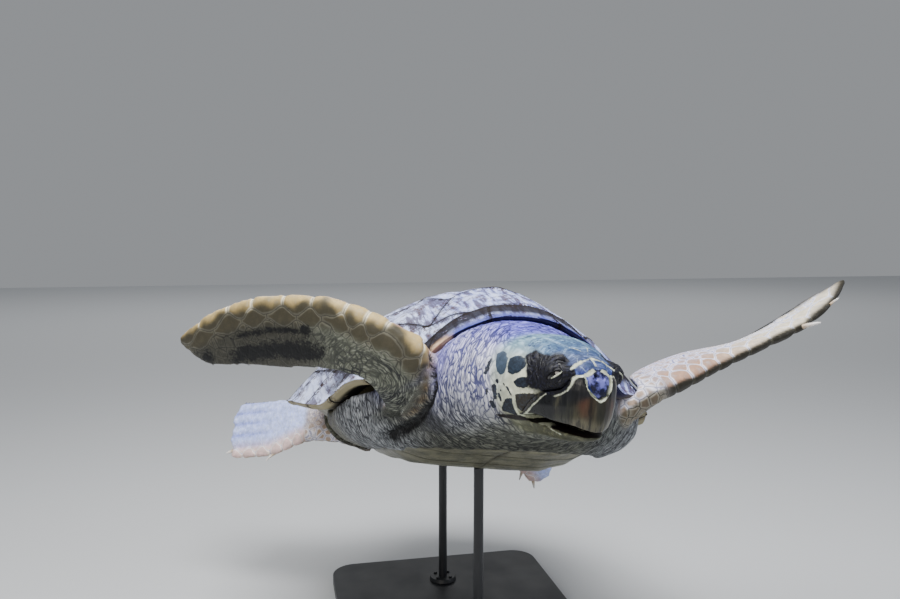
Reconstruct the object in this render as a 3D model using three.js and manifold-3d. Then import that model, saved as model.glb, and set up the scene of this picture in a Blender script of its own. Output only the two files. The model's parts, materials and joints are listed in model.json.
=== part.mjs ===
// A loggerhead sea turtle, Caretta caretta, life size, banking through a turn on a display stand.
// Millimetres, +Z up. The turtle swims towards -Y and its left side is +X.
// The origin is the middle of the stand's underside.

import * as THREE from "three";
import { LoftGeometry } from "three/addons/geometries/LoftGeometry.js";
import { mergeVertices } from "three/addons/utils/BufferGeometryUtils.js";
import Module from "manifold-3d";

const wasm = await Module();
wasm.setup();

// ---------------------------------------------------------------- driving dimensions

const SHELL = 750; // straight length of the carapace, nuchal edge to rear tip
const CROWN = 0.25 * SHELL; // height of the crown above the rim at the flank
const HEAD_WIDTH = 0.203 * SHELL;
const GAP = 0.35; // clearance between pieces that touch

// How the animal holds itself, in degrees.
const BODY_PITCH = 14; // head end up
const BODY_ROLL = -5.6; // its left side down
const BODY_HEIGHT = 400; // of the middle of the shell's rim above the floor
const HEAD_TURN = 13; // to the turtle's left
const HEAD_NOD = 9.5; // snout down, from the line of the body
const HEAD_TILT = 3.5; // its left side up
const JAW_GAPE = 3.5;

const radians = THREE.MathUtils.degToRad;
const vec = (x, y, z) => new THREE.Vector3(x, y, z);

// ---------------------------------------------------------------- shapes and solids

// A smooth function through [position, value] knots that never overshoots them.
function profile(knots) {
  const rise = (i) => (knots[i + 1][1] - knots[i][1]) / (knots[i + 1][0] - knots[i][0]);
  const last = knots.length - 1;
  const slope = knots.map((_, i) => {
    if (i === 0) return rise(0);
    if (i === last) return rise(last - 1);
    const [a, b] = [rise(i - 1), rise(i)];
    return a * b > 0 ? (2 * a * b) / (a + b) : 0;
  });
  return (t) => {
    let i = 0;
    while (i < last - 1 && t > knots[i + 1][0]) i++;
    const [t0, v0] = knots[i];
    const [t1, v1] = knots[i + 1];
    const w = t1 - t0;
    const s = THREE.MathUtils.clamp((t - t0) / w, 0, 1);
    const h = s * s * (3 - 2 * s);
    const d0 = s * (1 - s) * (1 - s) * w;
    const d1 = s * s * (s - 1) * w;
    return v0 + (v1 - v0) * h + slope[i] * d0 + slope[i + 1] * d1;
  };
}

const smoothstep = THREE.MathUtils.smoothstep;
const steps = (count) => Array.from({ length: count + 1 }, (_, i) => i / count);
const around = (count) => Array.from({ length: count }, (_, i) => (i / count) * 2 * Math.PI);
const power = (x, e) => Math.sign(x) * Math.abs(x) ** e;

// A closed solid skinned over rings of points. A loft's caps always face out, so its rings are turned round
// where their wall would face in: where the volume that they sweep is negative.
function loft(rings) {
  const middle = (ring) => ring.reduce((sum, p) => sum.add(p), vec()).divideScalar(ring.length);
  const spin = (ring) => ring.reduce((sum, p, i) => sum.add(vec().crossVectors(p, ring[(i + 1) % ring.length])), vec());
  let swept = 0;
  for (let i = 1; i < rings.length; i++) {
    const step = middle(rings[i]).sub(middle(rings[i - 1]));
    swept += spin(rings[i]).add(spin(rings[i - 1])).dot(step);
  }
  const sections = swept > 0 ? rings : rings.map((ring) => ring.toReversed());
  return solid(new LoftGeometry(sections, { capStart: true, capEnd: true }));
}

function solid(geometry) {
  const bare = new THREE.BufferGeometry();
  bare.setAttribute("position", geometry.getAttribute("position"));
  bare.setIndex(geometry.index);
  const merged = mergeVertices(bare, 1e-3);
  const corners = Uint32Array.from(merged.index.array);
  const make = () =>
    new wasm.Manifold(
      new wasm.Mesh({ numProp: 3, vertProperties: merged.attributes.position.array, triVerts: corners }),
    );
  const made = make();
  if (made.volume() > 0) return made;
  corners.reverse();
  return make();
}

function geometryOf(made) {
  const mesh = made.getMesh();
  const geometry = new THREE.BufferGeometry();
  geometry.setAttribute("position", new THREE.BufferAttribute(Float32Array.from(mesh.vertProperties), 3));
  geometry.setIndex(new THREE.BufferAttribute(Uint32Array.from(mesh.triVerts), 1));
  return geometry;
}

// The solid with its skin moved outwards by a distance.
function grown(made, distance) {
  const geometry = geometryOf(made);
  geometry.computeVertexNormals();
  const position = geometry.attributes.position;
  const normal = geometry.attributes.normal;
  const p = vec();
  for (let i = 0; i < position.count; i++) {
    p.fromBufferAttribute(position, i).addScaledVector(vec().fromBufferAttribute(normal, i), distance);
    position.setXYZ(i, p.x, p.y, p.z);
  }
  return solid(geometry);
}

// The largest closed body of a solid.
const largest = (made) => made.decompose().sort((a, b) => b.volume() - a.volume())[0];

// What is left of a solid beside its neighbours: one closed body, clear of each by the gap.
const cut = (made, ...neighbours) =>
  largest(neighbours.reduce((piece, other) => piece.subtract(grown(other, GAP)), made));

const moved = (made, matrix) => made.transform(matrix.elements);
const join = (pieces) => pieces.reduce((a, b) => a.add(b));

// A prism over a flat outline of [a, b] points. The place turns its own axes into the body's.
function prism(outline, depth, place) {
  const shape = new THREE.Shape(outline.map(([a, b]) => new THREE.Vector2(a, b)));
  const geometry = new THREE.ExtrudeGeometry(shape, { depth, bevelEnabled: false });
  return solid(geometry.applyMatrix4(place));
}

const upright = (z) => new THREE.Matrix4().makeTranslation(0, 0, z);

// An outline with each side of it moved inwards.
function inset(outline, distance) {
  const turn = Math.sign(THREE.ShapeUtils.area(outline.map(([x, y]) => new THREE.Vector2(x, y))));
  const count = outline.length;
  return outline.map((p, i) => {
    const a = outline[(i + count - 1) % count];
    const b = outline[(i + 1) % count];
    const before = new THREE.Vector2(p[0] - a[0], p[1] - a[1]).normalize();
    const after = new THREE.Vector2(b[0] - p[0], b[1] - p[1]).normalize();
    const inward = new THREE.Vector2(-before.y - after.y, before.x + after.x).multiplyScalar(turn);
    const reach = distance / Math.max(0.35, inward.length() / 2);
    inward.normalize();
    return [p[0] + inward.x * reach, p[1] + inward.y * reach];
  });
}

// ---------------------------------------------------------------- carapace

const CARAPACE_RING = 30;
const CROWN_PLACE = -0.1 * SHELL;
const SCUTE_RISE = 2.4;
const SCUTE_SEAM = 2.2; // half the width of the groove between scutes

// Half of the rim seen from above, front to rear, as shares of the shell's length.
const RIM_HALF = [
  [0.0, -0.5],
  [0.075, -0.494],
  [0.17, -0.468],
  [0.277, -0.385],
  [0.341, -0.255],
  [0.388, -0.09],
  [0.396, 0.07],
  [0.365, 0.22],
  [0.285, 0.35],
  [0.165, 0.445],
  [0.055, 0.492],
];
const rimPoints = [
  ...RIM_HALF.map(([x, y]) => vec(x * SHELL, y * SHELL, 0)),
  vec(0, 0.5 * SHELL, 0),
  ...RIM_HALF.slice(1).reverse().map(([x, y]) => vec(-x * SHELL, y * SHELL, 0)),
];
const rim = new THREE.CatmullRomCurve3(rimPoints, true, "centripetal");

// The rim rises over the neck, dips over each limb less, and is lowest at the flank and the tail.
const rimHeight = profile([
  [-0.5, 0.149 * SHELL],
  [-0.44, 0.027 * SHELL],
  [-0.385, 0.029 * SHELL],
  [-0.255, -0.016 * SHELL],
  [-0.05, -0.004 * SHELL],
  [0.1, 0],
  [0.32, 0.02 * SHELL],
  [0.5, -0.005 * SHELL],
]);

// A point of the dome: share 0 at the crown, 1 at the rim.
function domePoint(onRim, share) {
  const x = onRim.x * share;
  const y = CROWN_PLACE + (onRim.y - CROWN_PLACE) * share;
  const height = (1 - share ** 2.3) ** 1.12;
  const edge = rimHeight(onRim.y / SHELL);
  const keel = 5 * Math.exp(-((x / 20) ** 2)) * (1 - share);
  return vec(x, y, edge + (CROWN - edge) * height + keel);
}

const rimRing = around(CARAPACE_RING).map((a) => rim.getPointAt(a / (2 * Math.PI)));
const DOME_SHARES = [0.06, 0.28, 0.5, 0.69, 0.84, 0.94];

function carapaceBody() {
  const ringAt = (share, drop) =>
    rimRing.map((p) => domePoint(p, share).setZ(rimHeight(p.y / SHELL) - drop));
  const sections = [
    ...DOME_SHARES.map((share) => rimRing.map((p) => domePoint(p, share))),
    ringAt(1.0, 0),
    ringAt(1.0, 7),
    ringAt(0.96, 11),
    ringAt(0.8, 4),
    ringAt(0.15, -10),
  ];
  return loft(sections);
}

// Scute seams across the back, as shares of the shell's length from its middle.
const VERTEBRAL_SEAMS = [-0.44, -0.285, -0.1, 0.105, 0.285, 0.425];
const VERTEBRAL_WAIST = [0.085, 0.09, 0.1, 0.095, 0.08, 0.045]; // half width at each seam
const VERTEBRAL_CORNER = [0.145, 0.15, 0.145, 0.13, 0.1]; // half width between seams
const COSTAL_EDGE = 0.865; // where the costals meet the marginals, as a share of the way to the rim
const COSTAL_SEAMS = [0.125, 0.195, 0.27, 0.345, 0.41, 0.463]; // along the left half of the rim
const MARGINAL_PAIRS = 12;

const onBack = (along, share) => {
  const p = domePoint(rim.getPointAt(along), share);
  return [p.x, p.y];
};
const mirrored = (outline) => outline.map(([x, y]) => [-x, y]);

const corner = (i) => [VERTEBRAL_CORNER[i] * SHELL, ((VERTEBRAL_SEAMS[i] + VERTEBRAL_SEAMS[i + 1]) / 2) * SHELL];
const waist = (i) => [VERTEBRAL_WAIST[i] * SHELL, VERTEBRAL_SEAMS[i] * SHELL];

function vertebralOutlines() {
  return VERTEBRAL_CORNER.map((_, i) => {
    const half = [waist(i), corner(i), waist(i + 1)];
    return [...half, ...mirrored(half).reverse()];
  });
}

function costalOutlines() {
  return VERTEBRAL_CORNER.flatMap((_, i) => {
    const inner = [corner(i), waist(i), ...(i ? [corner(i - 1)] : [])];
    const [from, to] = [i ? COSTAL_SEAMS[i] : 0.045, COSTAL_SEAMS[i + 1]];
    const outer = [0, 0.5, 1].map((t) => onBack(from + (to - from) * t, COSTAL_EDGE));
    const costal = [...inner, ...outer];
    return [costal, mirrored(costal)];
  });
}

// The nuchal and the marginals fold over the rim, so they reach past it.
function rimOutlines() {
  const outlines = [];
  const band = (from, to) => {
    const corner = (along, share) => onBack((along + 1) % 1, share);
    return [corner(from, COSTAL_EDGE), corner(to, COSTAL_EDGE), corner(to, 1.05), corner(from, 1.05)];
  };
  const nuchalHalf = 0.0225;
  outlines.push(band(-nuchalHalf, nuchalHalf));
  for (let i = 0; i < MARGINAL_PAIRS; i++) {
    const width = (0.5 - nuchalHalf) / MARGINAL_PAIRS;
    const marginal = band(nuchalHalf + i * width, nuchalHalf + (i + 1) * width);
    outlines.push(marginal, mirrored(marginal));
  }
  return outlines;
}

const carapaceCore = carapaceBody();
const carapaceSkin = grown(carapaceCore, SCUTE_RISE);
const scutes = (outlines, floor) =>
  join(outlines.map((outline) => prism(inset(outline, SCUTE_SEAM), 400, upright(floor(outline)))));
// The scutes of the back are raised on top only, those of the rim down to just above its underside.
const backSkin = carapaceSkin.subtract(moved(carapaceCore, upright(-5)));
const carapace = largest(
  join([
    carapaceCore,
    backSkin.intersect(scutes([...vertebralOutlines(), ...costalOutlines()], () => 0)),
    carapaceSkin.intersect(
      scutes(rimOutlines(), (outline) => Math.min(...outline.map(([, y]) => rimHeight(y / SHELL))) - 5),
    ),
  ]),
);

// ---------------------------------------------------------------- plastron

const PLASTRON_DEPTH = -0.134 * SHELL;
const PLASTRON_THICK = 16;
const plastronHalf = profile([
  [-0.425, 0.03],
  [-0.41, 0.095],
  [-0.37, 0.17],
  [-0.3, 0.225],
  [-0.21, 0.235],
  [-0.165, 0.29],
  [-0.12, 0.345],
  [0.0, 0.36],
  [0.1, 0.345],
  [0.15, 0.27],
  [0.19, 0.185],
  [0.28, 0.165],
  [0.35, 0.12],
  [0.385, 0.06],
  [0.395, 0.02],
]);

// The dish of the belly: flat below, turned up at each bridge and a little at both ends. It sags a little
// towards the low side of the banking animal.
function belly(x, y) {
  const side = smoothstep(Math.abs(x), 0.12 * SHELL, 0.38 * SHELL) * 0.115 * SHELL;
  const front = smoothstep(-y, 0.15 * SHELL, 0.45 * SHELL) * 0.042 * SHELL;
  const rear = smoothstep(y, 0.15 * SHELL, 0.42 * SHELL) * 0.05 * SHELL;
  return PLASTRON_DEPTH + side + front + rear - 0.032 * x;
}

function plastronBody(margin, underside, topside) {
  const stations = [-0.425, -0.4, -0.34, -0.22, -0.17, -0.12, 0.1, 0.15, 0.19, 0.3, 0.37, 0.395];
  const across = steps(8).map((t) => 2 * t - 1);
  const sections = stations.map((station) => {
    const y = station * (SHELL + 2 * margin);
    const half = plastronHalf(station) * SHELL + margin;
    return [
      ...across.map((t) => vec(t * half, y, underside(t, belly(t * half, y)))),
      ...across.toReversed().map((t) => vec(t * half * 0.995, y, topside(t, belly(t * half, y)))),
    ];
  });
  return loft(sections);
}

// Pairs of belly scutes, front to rear: gular, humeral, pectoral, abdominal, femoral, anal.
const BELLY_SEAMS = [-0.425, -0.345, -0.255, -0.115, 0.07, 0.21, 0.395];
const INFRAMARGINAL_SEAMS = [-0.165, -0.09, 0.02, 0.145];

function bellyOutlines() {
  const outlines = [];
  const inner = 0.19 * SHELL;
  for (let i = 0; i < 6; i++) {
    const [from, to] = [BELLY_SEAMS[i] * SHELL, BELLY_SEAMS[i + 1] * SHELL];
    const scute = [[0, from], [inner, from], [inner, to], [0, to]];
    outlines.push(scute, mirrored(scute));
  }
  for (let i = 0; i < 3; i++) {
    const [from, to] = [INFRAMARGINAL_SEAMS[i] * SHELL, INFRAMARGINAL_SEAMS[i + 1] * SHELL];
    const scute = [[inner, from], [0.38 * SHELL, from], [0.38 * SHELL, to], [inner, to]];
    outlines.push(scute, mirrored(scute));
  }
  return outlines;
}

const plastronCore = plastronBody(
  0,
  (t, z) => z + 2 + 4 * t ** 6,
  (t, z) => z + PLASTRON_THICK - 4 * t ** 6,
);
// The room that the plastron and the air below it take, kept free of flesh.
const underBelly = plastronBody(
  2,
  () => -0.4 * SHELL,
  (t, z) => z + PLASTRON_THICK - 4 * t ** 6 + 1,
);
const plastronWhole = plastronCore.add(
  moved(plastronCore, upright(-1.4)).intersect(
    join(bellyOutlines().map((o) => prism(inset(o, 1.3), 200, upright(-200)))),
  ),
);
const plastron = cut(plastronWhole, carapace);

// ---------------------------------------------------------------- head

// The head is drawn 165 wide, then scaled. Its own axes: snout towards -Y, occiput at the origin.
const HEAD_DRAWN = 165;
const headPlace = new THREE.Matrix4().compose(
  vec(-0.01 * SHELL, -0.488 * SHELL, 0.045 * SHELL),
  new THREE.Quaternion().setFromEuler(
    new THREE.Euler(radians(HEAD_NOD), radians(-HEAD_TILT), radians(HEAD_TURN), "ZXY"),
  ),
  vec(1, 1, 1).multiplyScalar(HEAD_WIDTH / HEAD_DRAWN),
);

// Against the distance forward of the occiput.
const headHalf = profile([[0, 66], [25, 78], [51, 82.5], [82, 79], [113, 69], [139, 59], [162, 49], [180, 39], [193, 29], [201, 18], [205, 7]]);
const headTop = profile([[0, 48], [20, 56], [51, 60.5], [82, 60], [113, 57], [139, 52], [162, 45], [180, 36.5], [193, 27], [201, 17], [205, 6]]);
const headBottom = profile([[0, -50], [50, -62], [100, -68], [143, -66], [172, -61], [190, -56], [201, -51], [205, -40]]);

function headBody() {
  const stations = [0, 20, 50, 82, 110, 134, 154, 172, 186, 196, 202, 205];
  return loft(
    stations.map((f) =>
      around(22).map((a) => {
        const z = Math.sin(a) > 0 ? headTop(f) : -headBottom(f);
        return vec(headHalf(f) * power(Math.cos(a), 0.82), -f, z * power(Math.sin(a), 0.85));
      }),
    ),
  );
}

// Side views of the head's parts, as [forward, height] outlines that run right through it.
const sideView = new THREE.Matrix4().makeBasis(vec(0, -1, 0), vec(0, 0, 1), vec(-1, 0, 0)).setPosition(100, 0, 0);
const through = (outline) => prism(outline, 200, sideView);

const MOUTH_CORNER = [88, -47];
const UPPER_EDGE = [[115, -41], [135, -35], [147, -35.5], [165, -40], [188, -42.5], [203, -49]];
const LOWER_EDGE = [[118, -43], [148, -43], [172, -46.5], [196, -49]];
const upperJawLine = [MOUTH_CORNER, ...UPPER_EDGE, [225, -56]];

// Each eye looks out, a little forwards and up. Its own axes: Z out through the pupil, Y up, X along the head.
const EYE = vec(35.5, -166, 16.5);
const EYE_RADIUS = 17;

function eyePlace(side) {
  const out = vec(side * 0.92, -0.36, 0.14).normalize();
  const along = vec().crossVectors(vec(0, 0, 1), out).normalize();
  const up = vec().crossVectors(out, along);
  return new THREE.Matrix4().makeBasis(along, up, out).setPosition(side * EYE.x, EYE.y, EYE.z);
}

const eyeball = (side) =>
  solid(new THREE.SphereGeometry(EYE_RADIUS, 12, 8).rotateX(Math.PI / 2).applyMatrix4(eyePlace(side)));
const lids = (side) =>
  solid(new THREE.SphereGeometry(EYE_RADIUS + 2, 12, 9).rotateX(Math.PI / 2).scale(1.12, 1, 1).applyMatrix4(eyePlace(side)));

// The opening between the lids: an almond, its front corner lower.
function lidOpening(side) {
  const almond = around(12).map((a) => [
    side * 12.5 * Math.cos(a),
    9.5 * power(Math.sin(a), 1.2) * (Math.sin(a) > 0 ? 1 : 0.85) + 2 * Math.cos(a),
  ]);
  return prism(almond, 40, eyePlace(side));
}

function nostril(side) {
  const hole = new THREE.SphereGeometry(1, 8, 6).scale(3.2, 9, 4.2);
  return solid(hole.translate(side * 7.5, -203, 16));
}

// Plates on top of the head, as [across, forward] outlines: the pairs' left ones, then the single ones.
const HEAD_PLATE_PAIRS = [
  [[1, 176], [1, 197], [14, 196], [21, 184], [17, 175]],
  [[1, 156], [1, 174], [18, 173], [26, 160], [16, 151]],
  [[28, 160], [18, 150], [22, 126], [44, 130], [42, 148]],
  [[22, 124], [24, 100], [50, 98], [54, 116], [45, 128]],
  [[1, 94], [24, 98], [48, 95], [46, 76], [1, 76]],
];
const HEAD_PLATES = [
  [[-14, 149], [0, 154], [14, 149], [20, 126], [21, 96], [0, 96], [-21, 96], [-20, 126]],
];
function headParts() {
  const whole = headBody();
  const proud = grown(whole, 1.1);
  const topPlates = [...HEAD_PLATE_PAIRS, ...HEAD_PLATE_PAIRS.map(mirrored), ...HEAD_PLATES].map((outline) =>
    prism(inset(outline.map(([x, f]) => [x, -f]), 0.8), 100, upright(5)),
  );
  const skinned = join([
    whole,
    proud.intersect(join(topPlates)),
    lids(1),
    lids(-1),
  ]);

  const beakOutline = [
    ...upperJawLine,
    [225, 10], [200, 18], [190, 19], [184, 6], [178, -1], [160, -6], [149, -9], [134, -24], [121, -37], [104, -43],
  ];
  const jawOutline = [MOUTH_CORNER, ...LOWER_EDGE, [200, -90], [104, -90], [86, -62]];
  const mouth = through([MOUTH_CORNER, ...UPPER_EDGE, [225, -56], [225, -90], [105, -90], [87, -64]]);

  const shield = [[-17, 32], [-19, 10], [-12, -5], [0, -11], [12, -5], [19, 10], [17, 32]];
  const frontView = new THREE.Matrix4().makeRotationX(Math.PI / 2).setPosition(0, -170, 0);
  const beakPrism = (clearance) =>
    through(inset(beakOutline, -clearance)).subtract(prism(inset(shield, clearance), 60, frontView));
  const beak = grown(whole, 0.9).intersect(beakPrism(0));
  const beakRoom = beakPrism(1.4 * GAP);
  const gape = new THREE.Matrix4()
    .makeTranslation(0, -MOUTH_CORNER[0], MOUTH_CORNER[1])
    .multiply(new THREE.Matrix4().makeRotationX(radians(JAW_GAPE)))
    .multiply(new THREE.Matrix4().makeTranslation(0, MOUTH_CORNER[0], -MOUTH_CORNER[1]));
  const jaw = moved(whole.intersect(through(jawOutline)), gape);
  const jawRoom = moved(through(inset(jawOutline, -1.4 * GAP)), gape);

  const eyes = [1, -1].map(eyeball);
  const openings = [1, -1].map((side) => lidOpening(side));
  const bare = skinned.subtract(join([mouth, jawRoom, beakRoom, ...openings, ...[1, -1].map(nostril)]));
  return { whole, head: cut(bare, ...eyes), beak, jaw: largest(jaw.subtract(beakRoom)), eyes };
}

const inHead = (made) => moved(made, headPlace);
const drawn = headParts();
const skull = inHead(drawn.whole);
const head = inHead(drawn.head);
const beak = inHead(drawn.beak);
const jaw = inHead(drawn.jaw);
const [eyeLeft, eyeRight] = drawn.eyes.map(inHead);

// ---------------------------------------------------------------- neck and torso

const NECK_FOLDS = 4;

function neckBody() {
  const collar = vec(0, -72, -4).applyMatrix4(headPlace);
  const nape = vec(0, -20, -2).applyMatrix4(headPlace);
  const spine = new THREE.CatmullRomCurve3([
    vec(-4, -0.3 * SHELL, -22),
    vec(-6, -0.4 * SHELL, -4),
    nape,
    collar,
  ]);
  const side = profile([[0, 150], [0.35, 148], [0.62, 116], [0.85, 90], [1, 84]]);
  const above = profile([[0, 124], [0.35, 112], [0.5, 90], [0.62, 78], [0.85, 64], [1, 60]]);
  const below = profile([[0, 50], [0.35, 64], [0.62, 72], [0.85, 71], [1, 66]]);
  return loft(
    steps(12).map((t) => {
      const middle = spine.getPoint(t);
      const ahead = spine.getTangent(t);
      const across = vec().crossVectors(vec(0, 0, 1), ahead).normalize();
      const up = vec().crossVectors(ahead, across);
      const fold = 1 + 0.022 * smoothstep(t, 0.2, 0.5) * Math.cos(2 * Math.PI * NECK_FOLDS * t);
      const square = 0.68 + 0.22 * smoothstep(t, 0.35, 0.65);
      return around(20).map((a) => {
        const height = power(Math.sin(a), square);
        return middle
          .clone()
          .addScaledVector(across, side(t) * fold * power(Math.cos(a), square))
          .addScaledVector(up, (height > 0 ? above(t) : below(t)) * fold * height)
          .addScaledVector(ahead, -height * 26 * smoothstep(t, 0.3, 1));
      });
    }),
  );
}

const torsoHalf = profile([[-0.44, 0.18], [-0.38, 0.265], [-0.3, 0.31], [-0.2, 0.32], [0, 0.33], [0.2, 0.3], [0.33, 0.2], [0.43, 0.08]]);
const torsoTop = profile([[-0.44, 0.08], [-0.36, 0.1], [-0.2, 0.08], [0, 0.1], [0.3, 0.07], [0.43, 0.02]]);
const torsoBottom = profile([[-0.44, -0.09], [-0.36, -0.11], [-0.2, -0.124], [0.2, -0.13], [0.35, -0.08], [0.43, -0.03]]);

function torsoBody() {
  const stations = [-0.44, -0.41, -0.35, -0.27, -0.17, 0, 0.17, 0.27, 0.36, 0.43];
  const sections = stations.map((station) => {
    const [half, top, bottom] = [torsoHalf, torsoTop, torsoBottom].map((f) => f(station) * SHELL);
    return around(20).map((a) => {
      const square = Math.sin(a) > 0 ? 0.8 : 0.65;
      const z = power(Math.sin(a), square) * (Math.sin(a) > 0 ? top : -bottom);
      return vec(half * power(Math.cos(a), square), station * SHELL, z);
    });
  });
  return loft(sections);
}

const torsoWhole = torsoBody();
const neckWhole = neckBody();
const torso = cut(torsoWhole.subtract(underBelly), carapaceSkin);
const neck = cut(neckWhole.subtract(underBelly), torsoWhole, skull, jaw, carapaceSkin);

// ---------------------------------------------------------------- limbs

// A limb follows a path of stops. Each stop: where the limb's middle is, where its leading edge looks,
// its width and its thickness.
function limbLine(stops) {
  const last = stops.length - 1;
  const path = new THREE.CatmullRomCurve3(stops.map(({ at }) => vec(...at)), false, "centripetal");
  const edges = new THREE.CatmullRomCurve3(stops.map(({ edge }) => vec(...edge).normalize()));
  const width = profile(stops.map((stop, i) => [i / last, stop.width]));
  const thick = profile(stops.map((stop, i) => [i / last, stop.thick]));
  return (t) => {
    const ahead = path.getTangent(t);
    const edge = edges.getPoint(t).projectOnPlane(ahead).normalize();
    return { middle: path.getPoint(t), ahead, edge, face: vec().crossVectors(ahead, edge), width: width(t), thick: thick(t) };
  };
}

// The limb is thickest a third of the way back from its leading edge. A shape moves each point of
// the section along the limb and swells it.
function limb(stops, { from = 0, to = 1, count = 12, points = 18, shape = () => [0, 0] }) {
  const line = limbLine(stops);
  return loft(
    steps(count).map((step) => {
      const t = from + (to - from) * step;
      const { middle, ahead, edge, face, width, thick } = line(t);
      return around(points).map((a) => {
        const lead = Math.cos(a);
        const bulge = 0.78 + 0.34 * lead - 0.12 * lead * lead;
        const [along, swell] = shape(t, lead);
        return middle
          .clone()
          .addScaledVector(ahead, along)
          .addScaledVector(edge, (width / 2) * lead + (lead > 0 ? swell : 0))
          .addScaledVector(face, (thick / 2 + swell) * bulge * power(Math.sin(a), 0.9));
      });
    }),
  );
}

// A row of big scales swells the leading edge.
const EDGE_SCALES = 8;
const edgeScales = (t, lead) => {
  const share = (t - 0.3) / 0.66;
  const on = lead > 0.6 && share > 0 && share < 1;
  return [0, on ? 2.2 * Math.abs(Math.sin(Math.PI * EDGE_SCALES * share)) ** 0.5 : 0];
};

const LEFT_ARM = [
  { at: [112, -200, -44], edge: [0.2, -0.95, 0.1], width: 140, thick: 98 },
  { at: [156, -247, -10], edge: [0, -0.98, -0.1], width: 126, thick: 80 },
  { at: [200, -276, 26], edge: [-0.1, -0.93, -0.25], width: 114, thick: 54 },
  { at: [245, -278, 52], edge: [-0.13, -0.9, -0.37], width: 111, thick: 39 },
  { at: [305, -270, 79], edge: [-0.15, -0.9, -0.33], width: 104, thick: 30 },
  { at: [393, -262, 110], edge: [-0.15, -0.97, -0.15], width: 96, thick: 25 },
  { at: [468, -257, 149], edge: [-0.15, -0.95, -0.3], width: 87, thick: 20 },
  { at: [520, -262, 188], edge: [-0.2, -0.9, -0.42], width: 62, thick: 15 },
  { at: [563, -268, 224], edge: [-0.3, -0.85, -0.45], width: 14, thick: 8 },
];
const RIGHT_ARM = [
  { at: [-82, -188, -40], edge: [0.75, -0.1, 0.6], width: 134, thick: 90 },
  { at: [-96, -255, -22], edge: [0.9, -0.2, 0.4], width: 122, thick: 80 },
  { at: [-133, -329, 7], edge: [0.85, -0.3, 0.45], width: 102, thick: 64 },
  { at: [-183, -360, 45], edge: [0.4, -0.45, 0.8], width: 86, thick: 46 },
  { at: [-251, -337, 69], edge: [0, -0.42, 0.9], width: 98, thick: 31 },
  { at: [-320, -286, 73], edge: [-0.1, -0.42, 0.9], width: 102, thick: 26 },
  { at: [-372, -243, 70], edge: [-0.12, -0.4, 0.9], width: 90, thick: 21 },
  { at: [-418, -206, 60], edge: [-0.2, -0.35, 0.9], width: 66, thick: 16 },
  { at: [-456, -176, 66], edge: [-0.3, -0.3, 0.9], width: 14, thick: 8 },
];
const ELBOW = 0.3;

const upperArm = (stops) =>
  cut(limb(stops, { to: ELBOW - 0.0006, count: 6, points: 16 }), torsoWhole, neckWhole, carapaceSkin, underBelly);
const foreFlipper = (stops) =>
  cut(limb(stops, { from: ELBOW, count: 20, points: 12, shape: edgeScales }), neckWhole, carapaceSkin);

// The hind foot is a fan of five toes: the web between them is thinner and ends short of them.
const TOES = 5;
const toes = (t, lead) => {
  const spread = smoothstep(t, 0.55, 1);
  const between = Math.cos(Math.PI * TOES * (lead + 1) / 2) ** 2;
  return [spread * (-22 * lead * lead + 8 * (1 - between)), spread * (1.4 - 2.8 * between)];
};

const LEFT_LEG = [
  { at: [118, 222, -52], edge: [-0.3, -0.6, -0.6], width: 96, thick: 62 },
  { at: [176, 262, -60], edge: [-0.6, -0.2, -0.6], width: 82, thick: 46 },
  { at: [214, 284, -78], edge: [-0.8, 0, -0.5], width: 76, thick: 32 },
  { at: [238, 296, -104], edge: [-0.85, 0.1, -0.3], width: 76, thick: 20 },
  { at: [258, 304, -134], edge: [-0.85, 0.1, -0.3], width: 66, thick: 14 },
];
const RIGHT_LEG = [
  { at: [-118, 222, -48], edge: [-0.3, -0.5, -0.8], width: 96, thick: 62 },
  { at: [-178, 246, -36], edge: [-0.2, -0.4, -0.9], width: 84, thick: 46 },
  { at: [-250, 262, -32], edge: [-0.15, -0.35, -0.93], width: 94, thick: 32 },
  { at: [-320, 300, -50], edge: [-0.12, -0.3, -0.95], width: 122, thick: 20 },
  { at: [-400, 341, -59], edge: [-0.1, -0.3, -0.95], width: 128, thick: 14 },
];
const KNEE = 0.5;

const thigh = (stops) =>
  cut(limb(stops, { to: KNEE - 0.001, count: 5, points: 14 }), torsoWhole, carapaceSkin, underBelly);
const hindFlipper = (stops) =>
  limb(stops, { from: KNEE, count: 7, points: 22, shape: toes });

// A claw grows out of a limb's leading edge and bends towards the limb's tip.
function claw(stops, flipper, { t, lead = 1, splay, length, radius, lift = 0 }) {
  const { middle, ahead, edge, face, width } = limbLine(stops)(t);
  const out = ahead.clone().multiplyScalar(Math.cos(radians(splay))).addScaledVector(edge, Math.sin(radians(splay)));
  const side = vec().crossVectors(out, face).normalize();
  const start = middle
    .clone()
    .addScaledVector(edge, (width / 2) * lead)
    .addScaledVector(face, lift)
    .addScaledVector(out, -6);
  const rings = [0, 0.4, 0.75, 1].map((s) => {
    const centre = start
      .clone()
      .addScaledVector(out, s * (length + 6))
      .addScaledVector(ahead, 0.16 * length * s * s);
    const r = radius * (1 - s) ** 0.6 + 0.5;
    return around(6).map((a) =>
      centre.clone().addScaledVector(side, r * Math.cos(a)).addScaledVector(face, 0.8 * r * Math.sin(a)),
    );
  });
  return cut(loft(rings), flipper);
}

const LEFT_FORE_CLAWS = [
  { t: 0.735, splay: 66, length: 24, radius: 5.5 },
  { t: 0.875, splay: 16, length: 11, radius: 3.5 },
];
const RIGHT_FORE_CLAWS = [
  { t: 0.755, splay: -6, length: 22, radius: 5, lead: 0.9, lift: 6 },
  { t: 0.875, splay: -14, length: 11, radius: 3.2, lead: 0.8, lift: 5 },
];
const HIND_CLAWS = [
  { t: 0.74, splay: 50, length: 13, radius: 4 },
  { t: 0.985, lead: 0.72, splay: 20, length: 9, radius: 3.4 },
];

// ---------------------------------------------------------------- tail

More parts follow.
